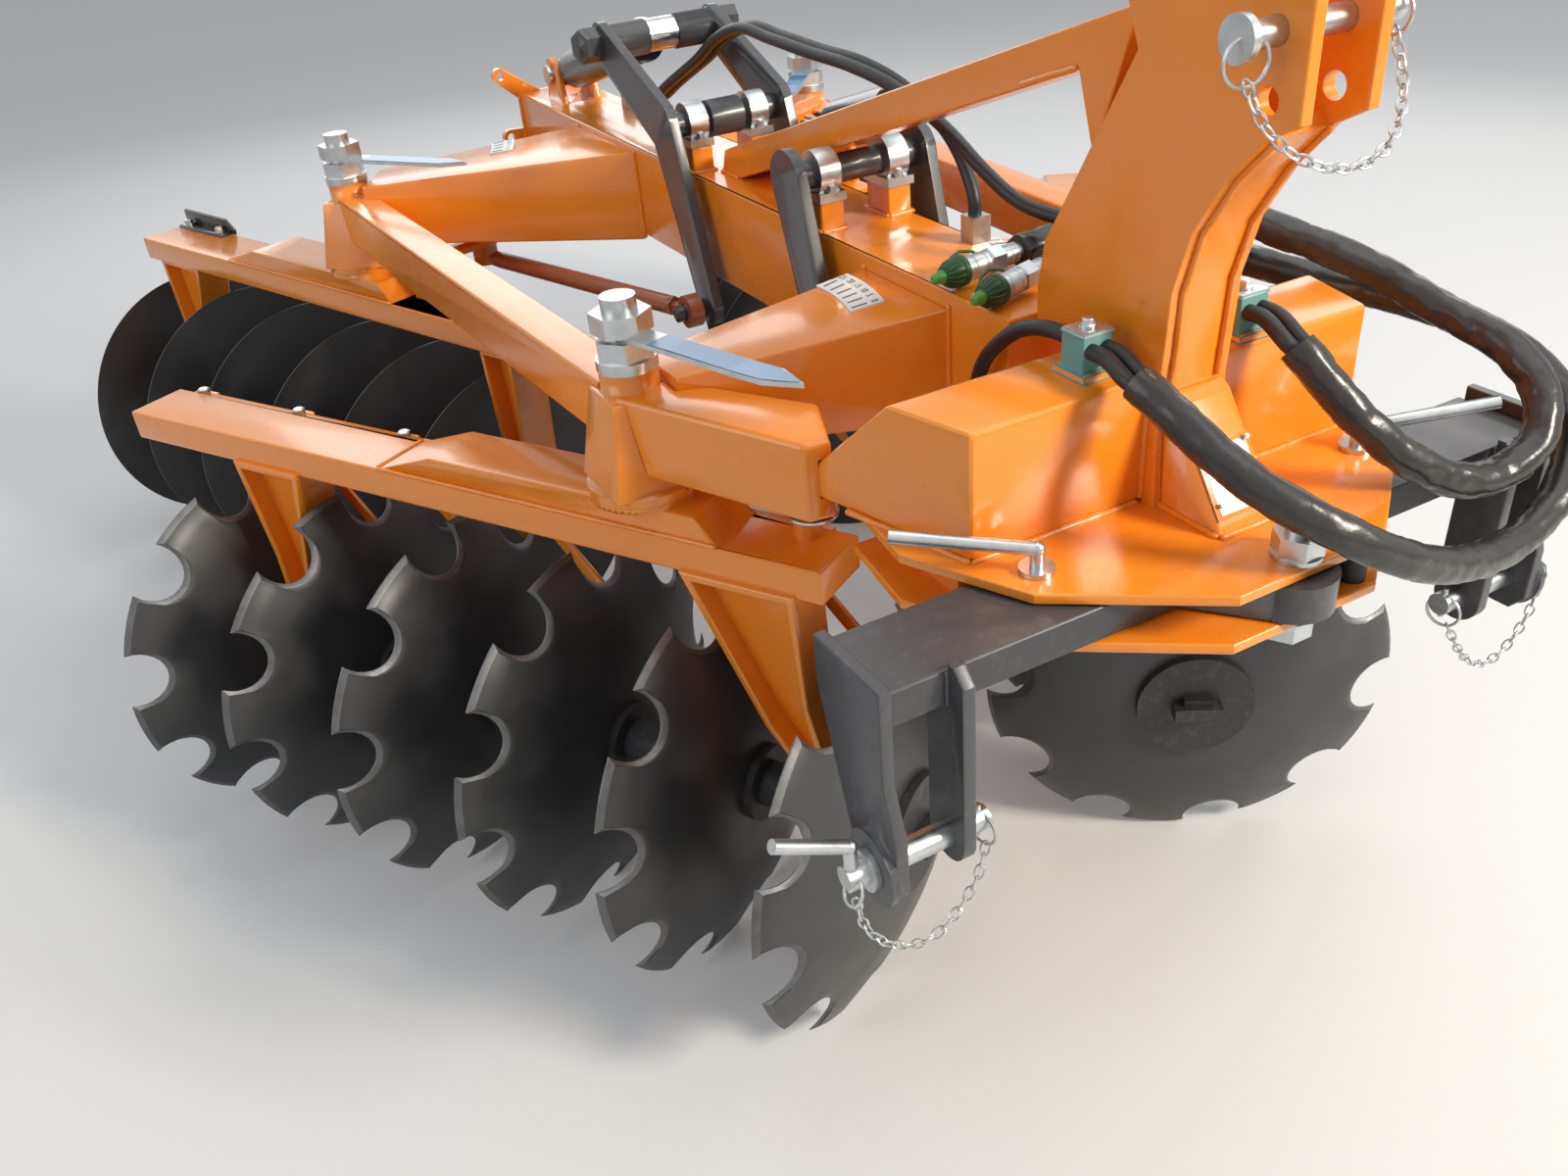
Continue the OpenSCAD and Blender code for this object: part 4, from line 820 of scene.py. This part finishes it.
def boltTree():
    t = GrowTree("hexBolts", {"Across flats": 0.019, "Head": 0.010, "Washer": 0.015})
    b, flats, height = boltShape, t.start["Across flats"], t.start["Head"]
    washer = t.geo("MeshCylinder", Vertices=24, Radius=t.start["Washer"], Depth=b["washer"])
    corner = t.math("MULTIPLY", flats, b["corner"])
    head = t.geo("MeshCylinder", Vertices=6, Radius=corner, Depth=height)
    crown = t.geo("MeshCone", Vertices=24, Radius_Top=t.math("MULTIPLY", flats, b["crownTop"]),
                  Radius_Bottom=t.math("MULTIPLY", flats, b["crownFoot"]), Depth=b["crown"])
    middle = t.math("ADD", t.math("MULTIPLY", height, 0.5), b["washer"] - b["sink"])
    top = t.math("ADD", height, b["washer"] - 2 * b["sink"])
    bolt = t.join(t.moved(washer, b["washer"] / 2), t.moved(head, middle), t.moved(crown, top))
    return t.finish(t.start["Geometry"], bolt, t.alongAxis("Z"))


linkShape = {"radius": 0.0048, "stretch": 1.75}  # half width of a link in metres, and its length to its width


def chainTree():
    # oval links along a line, every second one turned by a quarter
    t = GrowTree("chainLinks", {"Pitch": 0.0125, "Wire": 0.0013})
    flat = t.circle(14, linkShape["radius"])
    upright = t.geo("Transform", Geometry=flat, Rotation=(0, pi / 2, 0))
    oval = t.geo("Transform", Geometry=upright, Scale=(1, 1, linkShape["stretch"]))
    link = t.geo("CurveToMesh", Curve=oval, Profile_Curve=t.circle(6, t.start["Wire"]))
    line = t.geo("MeshToCurve", Mesh=t.start["Geometry"])
    even = t.add("GeometryNodeCurveToPoints", {"mode": "LENGTH"}, Curve=line, Length=t.start["Pitch"]).outputs
    odd = t.math("MODULO", t.geo("InputIndex"), 2.0)
    quarter = t.add("FunctionNodeAxisAngleToRotation", Angle=t.math("MULTIPLY", odd, pi / 2)).outputs[0]
    turn = t.add("FunctionNodeRotateRotation", {"rotation_space": "LOCAL"}, Rotation=even["Rotation"],
                 Rotate_By=quarter).outputs[0]
    return t.finish(even["Points"], link, turn)


def barTree():
    t = GrowTree("scaleMarks", {"Long": 0.030, "Wide": 0.0022, "Thick": 0.0005})
    size = t.add("ShaderNodeCombineXYZ", X=t.start["Long"], Y=t.start["Wide"], Z=t.start["Thick"]).outputs[0]
    bar = t.geo("MeshCube", Size=size)
    return t.finish(t.start["Geometry"], bar, t.alongAxis("X"))


trees = {"bolt": boltTree(), "chain": chainTree(), "bar": barTree()}


def grow(name, kind, points, axes, body, slotName, finish, sizes=None):
    # puts a tree's shape on points, each with its axis, or along their line, and keeps a plain mesh
    joints = [] if axes else [(i, i + 1) for i in range(len(points) - 1)]
    mesh = bpy.data.meshes.new(name)
    mesh.from_pydata([tuple(p) for p in points], joints, [])
    if axes:
        layer = mesh.attributes.new("axis", "FLOAT_VECTOR", "POINT")
        for item, axis in zip(layer.data, axes):
            item.vector = axis
    seed = addObject(name + "Seed", mesh)
    tree = trees[kind]
    grower = seed.modifiers.new("grower", "NODES")
    grower.node_group = tree.tree
    for label, value in (sizes or {}).items():
        grower[tree.keys[label]] = value
    grower[tree.keys["Material"]] = materials[finish]
    result = bpy.data.meshes.new_from_object(seed.evaluated_get(bpy.context.evaluated_depsgraph_get()))
    seed.modifiers.remove(grower)
    bpy.data.objects.remove(seed)
    return linkPiece(name, result, body, slotName, 30)


# Bolts and rivets, in metres: width across flats, height of the head and radius of the washer
boltSizes = {
    "scraper": (0.0175, 0.0085, 0.0102), "clamp": (0.013, 0.006, 0.009), "bearing": (0.013, 0.007, 0.0065),
    "rivet": (0.005, 0.0012, 0.0026), "guard": (0.017, 0.009, 0.0125),
}


def addBolts(name, size, seats, body="frame", axis=upward):
    flats, head, washer = boltSizes[size]
    grow(name, "bolt", seats, [axis] * len(seats), body, "zinc", "zinc",
         {"Across flats": flats, "Head": head, "Washer": washer})


# Bearings of the rocker shafts, in millimetres: places, half sizes of the feet, and bolts beside each cap
bearings = {"y": (567, 988), "x": (-55, 55), "foot": (20, 31), "footZ": 966, "boltY": 27, "boltZ": 1018}
scraperBolts = {"first": -197, "step": 235, "count": 6, "y": -60.5, "z": 691.2}


def makeBolts():
    b = scraperBolts
    row = [(b["first"] + i * b["step"], b["y"], b["z"]) for i in range(b["count"])]
    for side in sides:
        seats = onGang("front", side, row)
        addBolts("scraperBolts" + side.capitalize(), "scraper", seats, "front_gang_" + side)
    seats = [mm(x, y + dy, bearings["boltZ"]) for y in bearings["y"] for x in bearings["x"]
             for dy in (-bearings["boltY"], bearings["boltY"])]
    addBolts("bearingBolts", "bearing", seats)


# Chains of the linch pins, in millimetres: each ring has its centre, facing, radius and wire
chains = {
    "pin": {
        "route": [(-503, -226, 572), (-497, -230, 540), (-480, -232, 512), (-455, -233, 490),
                  (-430, -233, 482), (-405, -232, 488), (-380, -230, 508), (-360, -228, 534),
                  (-347, -222, 560)],
        "rings": [((-503, -220, 583), (-0.86, 0, 0.5), 14, 1.8), ((-345, -212, 581), (1, 0.2, 0), 20, 1.9)],
        "tongue": [(-347, -208, z) for z in (571, 580, 600, 611)],
    },
    "top": {
        "route": [(-84, -216, 1262), (-80, -232, 1236), (-66, -252, 1214), (-40, -266, 1200),
                  (-8, -270, 1195), (30, -266, 1203), (60, -252, 1222), (80, -232, 1250), (86, -214, 1278)],
        "rings": [((-84, -211, 1282), (0.3, 0.95, 0), 20, 1.9), ((87, -206, 1296), (1, 0.1, 0), 19, 1.9)],
        "tongue": [],
    },
}
chainStep = 0.004  # spacing of the points of a chain's line, in metres
tongueRadius = 0.0035


def ring(build, center, facing, radius, wire):
    normal = Vector(facing).normalized()
    side = normal.orthogonal().normalized()
    other = normal.cross(side).normalized()
    loop = [center + side * radius * cos(a) + other * radius * sin(a)
            for a in (*turns(32), 2 * pi)]
    tube(build, loop, wire, 8)


def addChain(key, ending, side):
    c = chains[key]
    line = [onSide(p, side) for p in smoothRoute(c["route"], chainStep)]
    grow(key + "Chain" + ending, "chain", line, None, "frame", "zinc", "zinc")
    build = bmesh.new()
    for center, facing, radius, wire in c["rings"]:
        ring(build, onSide(mm(*center), side), facing, radius / 1000, wire / 1000)
    if c["tongue"]:
        tube(build, [onSide(mm(*p), side) for p in c["tongue"]], tongueRadius, 12)
    keep(key + "Rings" + ending, build, "frame", "zinc", ("zinc",), 40)


def makeChains():
    for side in sides:
        addChain("pin", side.capitalize(), side)
    addChain("top", "", "right")


# Angle scales, in degrees and millimetres: the marks, and the top of the arm from root to tip as (x, z)
scales = {
    "front": {"from": -15.5, "to": 2.0, "count": 6, "root": (-25, 953), "tip": (-480, 880)},
    "rear": {"from": -26.5, "to": -15.5, "count": 4, "root": (-25, 962), "tip": (-562, 900)},
}
marks = {"inner": 290, "outer": 308, "number": 319, "step": 5, "plate": 2.3, "lift": 0.1, "numberLift": 0.35,
         "letter": 0.013, "long": 0.020, "wide": 0.0024}


def onPlate(end, outward, radius, lift, side):
    # a point on a scale plate, at a radius from the gang's pivot
    (x0, z0), (x1, z1) = scales[end]["root"], scales[end]["tip"]
    px, py = gangs[end]["pivot"]
    x, y = px + radius * outward.x, py + radius * outward.y
    return onSide(mm(x, y, z0 + (z1 - z0) * (x - x0) / (x1 - x0) + marks["plate"] + lift), side)


def addNumber(name, words, end, outward, side):
    # a plain number at the outer end of a mark, laid on the sloping plate
    curve = bpy.data.curves.new(name, "FONT")
    curve.body = words
    curve.size = marks["letter"]
    curve.align_x, curve.align_y = "CENTER", "CENTER"
    text = addObject(name, curve)
    mesh = bpy.data.meshes.new_from_object(text.evaluated_get(bpy.context.evaluated_depsgraph_get()))
    bpy.data.objects.remove(text)
    near, spot = (onPlate(end, outward, radius, marks["numberLift"], side)
                  for radius in (marks["number"] - 10, marks["number"]))
    up = (spot - near).normalized()
    right = up.cross(upward).normalized()
    mesh.transform(Matrix.Translation(spot) @ Matrix((right, up, right.cross(up))).transposed().to_4x4())
    mesh.materials.append(materials["ink"])
    linkPiece(name, mesh, "frame", "scale_white")


def makeScales():
    for end, s in scales.items():
        for side in sides:
            seats, axes = [], []
            for i in range(s["count"]):
                angle = radians(s["from"] + (s["to"] - s["from"]) * i / (s["count"] - 1))
                outward = Vector((cos(angle), sin(angle), 0))
                near, far = (onPlate(end, outward, radius, marks["lift"], side)
                             for radius in (marks["inner"], marks["outer"]))
                seats.append((near + far) / 2)
                axes.append((far - near).normalized())
                name = end + "Number" + side.capitalize() + str(i)
                addNumber(name, str(marks["step"] * i), end, outward, side)
            grow(end + "Marks" + side.capitalize(), "bar", seats, axes, "frame", "scale_white", "ink",
                 {"Long": marks["long"], "Wide": marks["wide"]})


# Blue film left on the pointers, in millimetres: distance from the pivot, half width, and 1 past the bend
pointerFilm = {
    "stations": [(62, 17.5, 0), (96, 17.5, 0), (196, 17.5, 1), (244, 17.5, 1), (286, 2.5, 1)],
    "z": 953.6, "thick": 0.0005, "front": {"angle": -70, "drop": 3}, "rear": {"angle": -52, "drop": 1},
}


def makeFilms():
    for end, g in gangs.items():
        px, py = g["pivot"]
        turn, drop = radians(pointerFilm[end]["angle"]), pointerFilm[end]["drop"]
        ahead, across = Vector((cos(turn), sin(turn))), Vector((-sin(turn), cos(turn)))
        for side in sides:
            outline = []
            for r, wide, low in pointerFilm["stations"]:
                outline.append([onSide(mm(px + r * ahead.x + s * wide * across.x,
                                          py + r * ahead.y + s * wide * across.y,
                                          pointerFilm["z"] - drop * low), side) for s in (-1, 1)])
            build = bmesh.new()
            for a, b in zip(outline, outline[1:]):
                quad = [a[0], b[0], b[1], a[1]]
                slab(build, quad if side == "right" else quad[::-1], pointerFilm["thick"])
            keep(end + "Film" + side.capitalize(), build, end + "_gang_" + side, "zinc", ("blueFilm",), 30,
                 merge=0.0001)


# Hose clamps, in millimetres: half sizes, bottom, top, finish and rounding of the base, the block and the lid
clamps = {
    "places": ((-90, -42), (104, -62)), "boltZ": 1007.5, "finishes": ("clamp", "zinc", "orange"),
    "layers": ((24, 26, 957.4, 965.3, 2, 1.5), (20, 18, 965.3, 1003.2, 0, 3.0),
               (20, 18, 1003.4, 1007.3, 1, 0.8)),
}


def makeClamps():
    build = bmesh.new()
    for x, y in clamps["places"]:
        for dx, dy, bottom, top, material, soft in clamps["layers"]:
            corners = [mm(*p) for p in rectangle(x, y, dx, dy, bottom)]
            slab(build, corners, (top - bottom) / 1000, material, soft / 1000)
    keep("hoseClamps", build, "frame", "zinc", clamps["finishes"], 35, ("hose_clamps",), merge=0)
    addBolts("clampBolts", "clamp", [mm(x, y, clamps["boltZ"]) for x, y in clamps["places"]])


# Bent guard on the outer end of each rear beam, in millimetres in the gang's own frame
guard = {
    "foot": [(642, -62, 701.3), (832, -62, 701.3), (832, -32, 701.3), (642, -32, 701.3)],
    "wall": [(836, -62, 701.3), (626, -62, 701.3), (622, -62, 712), (652, -62, 734), (836, -62, 736)],
    "thick": 0.005, "soft": 0.0012, "bolts": [(668, -46, 706.4), (808, -46, 706.4)],
}


def makeGuards():
    for side in sides:
        build = bmesh.new()
        for key in ("foot", "wall"):
            corners = onGang("rear", side, guard[key])
            slab(build, corners if side == "right" else corners[::-1], guard["thick"], 0, guard["soft"])
        body = "rear_gang_" + side
        keep("endGuard" + side.capitalize(), build, body, "dark_grey", ("cylinder",), 30, merge=0)
        addBolts("guardBolts" + side.capitalize(), "guard", onGang("rear", side, guard["bolts"]), body)


# Domed zinc washers under the tips of the cross body, in millimetres
domes = {"x": (-322, 322), "y": 152, "z": 781.8,
         "profile": [(0, 31), (3, 31), (4.2, 29.8), (8, 26), (11.5, 18), (13.5, 8)]}


def makeDomes():
    build = bmesh.new()
    for x in domes["x"]:
        turned(build, domes["profile"], mm(x, domes["y"], domes["z"]), -upward, 40)
    keep("domedWashers", build, "frame", "zinc", ("zinc",), 40)


# Blank data plate on the sloping foot of the mast, in millimetres: half width, lower and upper edge, lift,
# thickness and finish of its border and its face, then the rivets in the corners
dataPlate = {
    "foot": (0, -196.5, 824), "slope": (0, 0.569, 0.822), "normal": (0, -0.822, 0.569), "soft": 0.0003,
    "layers": ((36, 4, 84, 0.2, 1.2, 1), (31, 9, 79, 1.4, 0.8, 0)),
    "rivetX": (-30, 30), "rivetZ": (842, 890), "rivetAxis": (0, -0.823, 0.568), "rise": 0.69,
    "face": (-200.5, 823),
}


def makeDataPlate():
    d = dataPlate
    slope, normal = Vector(d["slope"]), Vector(d["normal"])
    build = bmesh.new()
    for half, low, high, lift, thick, material in d["layers"]:
        corners = [mm(*d["foot"]) + Vector((x / 1000, 0, 0)) + slope * (r / 1000) + normal * (lift / 1000)
                   for x, r in ((-half, low), (half, low), (half, high), (-half, high))]
        slab(build, corners, thick / 1000, material, d["soft"])
    keep("dataPlate", build, "frame", "zinc", ("plate", "orange"), 30, merge=0)
    faceY, faceZ = d["face"]
    seats = [mm(x, faceY + (z - faceZ) * d["rise"], z) for x in d["rivetX"] for z in d["rivetZ"]]
    addBolts("plateRivets", "rivet", seats, axis=Vector(d["rivetAxis"]))


# Weld seams of the frame, in millimetres: those with a mirror image on the other side, and those without
seams = {
    "orange": {
        "slot": "frame_orange", "bead": 4.0,
        "paired": [
            [(271, -90, 812), (318, 80, 812)], [(48, -91, 815), (48, -91, 955)],
            [(48, -88, 958), (48, 96, 958)], [(39, -108, 813), (39, -198, 813)],
            [(76, 228, 800), (76, 228, 950)], [(76, 425, 800), (76, 425, 950)],
            [(76, 1213, 800), (76, 1213, 958)], [(76, 1500, 800), (76, 1500, 958)],
            [(33, 879, 966), (33, 938, 966)], [(33, 150, 1208), (33, 60, 1236)],
            [(75, 1861, 812), (75, 1861, 960)],
            [(32, -106, 943), (32, -111, 1009), (32, -113, 1050), (32, -132, 1113), (32, -168, 1170),
             (32, -207, 1211)]],
        "single": [
            [(-270, -91, 812), (-52, -91, 812)], [(52, -91, 812), (270, -91, 812)],
            [(-38, -201, 813), (38, -201, 813)], [(-31, 941, 966), (31, 941, 966)]],
    },
    "darkGrey": {
        "slot": "dark_grey", "bead": 3.5,
        "paired": [[(451, -212, 755), (451, -107, 755)], [(385, -213, 797), (385, -213, 757)],
                   [(370, -213, 797), (370, -213, 757)]],
        "single": [],
    },
}
for x in bearings["x"]:
    for y in bearings["y"]:
        foot = rectangle(x, y, *bearings["foot"], bearings["footZ"])
        seams["orange"]["single"].append([*foot, foot[0]])
# Seams round the raised box on each gang beam, in the gang's own frame
gangSeams = {"front": 49, "rear": 59, "from": -135, "to": 455, "z": 702, "bead": 3.5}
# Look of a hand weld: spacing of its rings and wander in metres, shares of the radius, scales of the noise
bead = {"step": 0.0022, "around": 8, "body": 0.88, "ripple": 0.12, "rippleTurn": 1.25, "uneven": 0.12,
        "unevenScale": 90, "wander": 0.0006, "wanderScale": 45, "end": 0.45}


def weldBead(build, points, radius):
    # overlapping ripples, a little uneven, along a line of points
    path = [points[0]]
    for a, b in zip(points, points[1:]):
        count = max(2, round((b - a).length / bead["step"]))
        path += [a.lerp(b, k / count) for k in range(1, count + 1)]
    rings = []
    for i, (point, side, other) in enumerate(alongPath(path)):
        size = radius * (bead["body"] + bead["ripple"] * abs(sin(i * bead["rippleTurn"]))
                         + bead["uneven"] * noise.noise(point * bead["unevenScale"]))
        if i in (0, len(path) - 1):
            size *= bead["end"]
        spot = point * bead["wanderScale"]
        wander = side * (bead["wander"] * noise.noise(spot)) \
            + other * (bead["wander"] * noise.noise(spot + Vector((5, 5, 5))))
        rings.append([build.verts.new(point + wander + (side * cos(a) + other * sin(a)) * size)
                      for a in turns(bead["around"])])
    skin(build, rings)


def makeWelds():
    for finish, s in seams.items():
        build = bmesh.new()
        lines = s["single"] + s["paired"] + [[(-x, y, z) for x, y, z in line] for line in s["paired"]]
        for line in lines:
            weldBead(build, [mm(*p) for p in line], s["bead"] / 1000)
        keep("weldBeads" + finish.capitalize(), build, "frame", s["slot"], (finish,), 60, merge=0)
    g = gangSeams
    for end in gangs:
        half, low, high, z = g[end], g["from"], g["to"], g["z"]
        lines = [[(low, half, z), (high, half, z)], [(low, -half, z), (high, -half, z)],
                 [(high + 1, 2 - half, z), (high + 1, half - 2, z)]]
        for side in sides:
            build = bmesh.new()
            for line in lines:
                weldBead(build, onGang(end, side, line), g["bead"] / 1000)
            keep(end + "GangWelds" + side.capitalize(), build, end + "_gang_" + side, "frame_orange",
                 ("orange",), 60, merge=0)


makeBolts()
makeChains()
makeScales()
makeFilms()
makeClamps()
makeGuards()
makeDomes()
makeDataPlate()
makeWelds()
print("fittings made")

# Floor and sky, with sizes in metres
studio = {
    "floor": (0.66, 0.655, 0.64), "floorHalf": 45, "floorZ": -0.0005, "floorGlow": 0.10,
    "glow": (1.0, 0.99, 0.97), "sky": (0.80, 0.87, 1.0), "skyStrength": 0.38, "paper": (0.80, 0.80, 0.79),
}
# Lamps: place, target and size in metres, power in watts and colour
lamps = {
    "sunLamp": ((2.6, -5.0, 3.6), (0, -0.2, 0.6), (1.3, 1.3), 370, (1.0, 0.93, 0.80)),
    "skyLamp": ((1.0, -0.6, 5.2), (0, 0, 0.6), (5.0, 5.0), 95, (0.93, 0.97, 1.0)),
    "rightLamp": ((-4.6, -0.6, 2.8), (0, 0, 0.6), (3.2, 2.2), 42, (1, 1, 1)),
    "leftLamp": ((4.5, 1.4, 2.4), (0, 0, 0.6), (3.0, 2.2), 30, (1, 1, 1)),
    "rearLamp": ((0.8, 5.0, 2.8), (0, 0.5, 0.6), (3.5, 2.2), 45, (1, 1, 1)),
}


def makeFloor():
    half = studio["floorHalf"]
    mesh = bpy.data.meshes.new("floor")
    mesh.from_pydata(rectangle(0, 0, half, half, studio["floorZ"]), [], [(0, 1, 2, 3)])
    floor = addObject("floor", mesh)
    s = Shader("paleFloor")
    grain = s.noise(180, 6, 0.7)
    s.set(Base_Color=s.mix(grain, [c * 0.93 for c in studio["floor"]], studio["floor"]), Roughness=0.85,
          Emission_Strength=s.math("MULTIPLY", s.seen(), studio["floorGlow"]), Emission_Color=studio["glow"])
    s.bump(grain, 0.0006)
    mesh.materials.append(s.material)
    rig.stage(floor)


def makeSky():
    # a pale background to look at, and a plain blue-white light on the object
    world = bpy.data.worlds.new("softSky")
    world.use_nodes = True
    w = NodeMaker(world.node_tree)
    sky = w.tree.nodes["Background"]
    w.feed(sky.inputs["Color"], studio["sky"])
    w.feed(sky.inputs["Strength"], studio["skyStrength"])
    paper = w.add("ShaderNodeBackground", Color=studio["paper"])
    both = w.add("ShaderNodeMixShader")
    for socket, value in zip(both.inputs, (w.seen(), sky.outputs[0], paper.outputs[0])):
        w.feed(socket, value)
    w.feed(w.tree.nodes["World Output"].inputs[0], both.outputs[0])
    bpy.context.scene.world = world


def makeLamps():
    for name, (place, target, size, power, color) in lamps.items():
        data = bpy.data.lights.new(name, "AREA")
        data.shape = "RECTANGLE"
        data.size, data.size_y = size
        data.energy = power
        data.color = color
        lamp = addObject(name, data)
        lamp.location = place
        lamp.rotation_euler = (Vector(target) - Vector(place)).to_track_quat("-Z", "Y").to_euler()


makeFloor()
makeSky()
makeLamps()
bpy.context.scene.view_settings.view_transform = "Standard"
print("studio made")

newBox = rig.bounds()
with open("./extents.json", "w") as out:
    json.dump({"cad": [list(v) for v in cadBox], "visual": [list(v) for v in newBox]}, out)
print("pieces:", len(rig.pieces()))
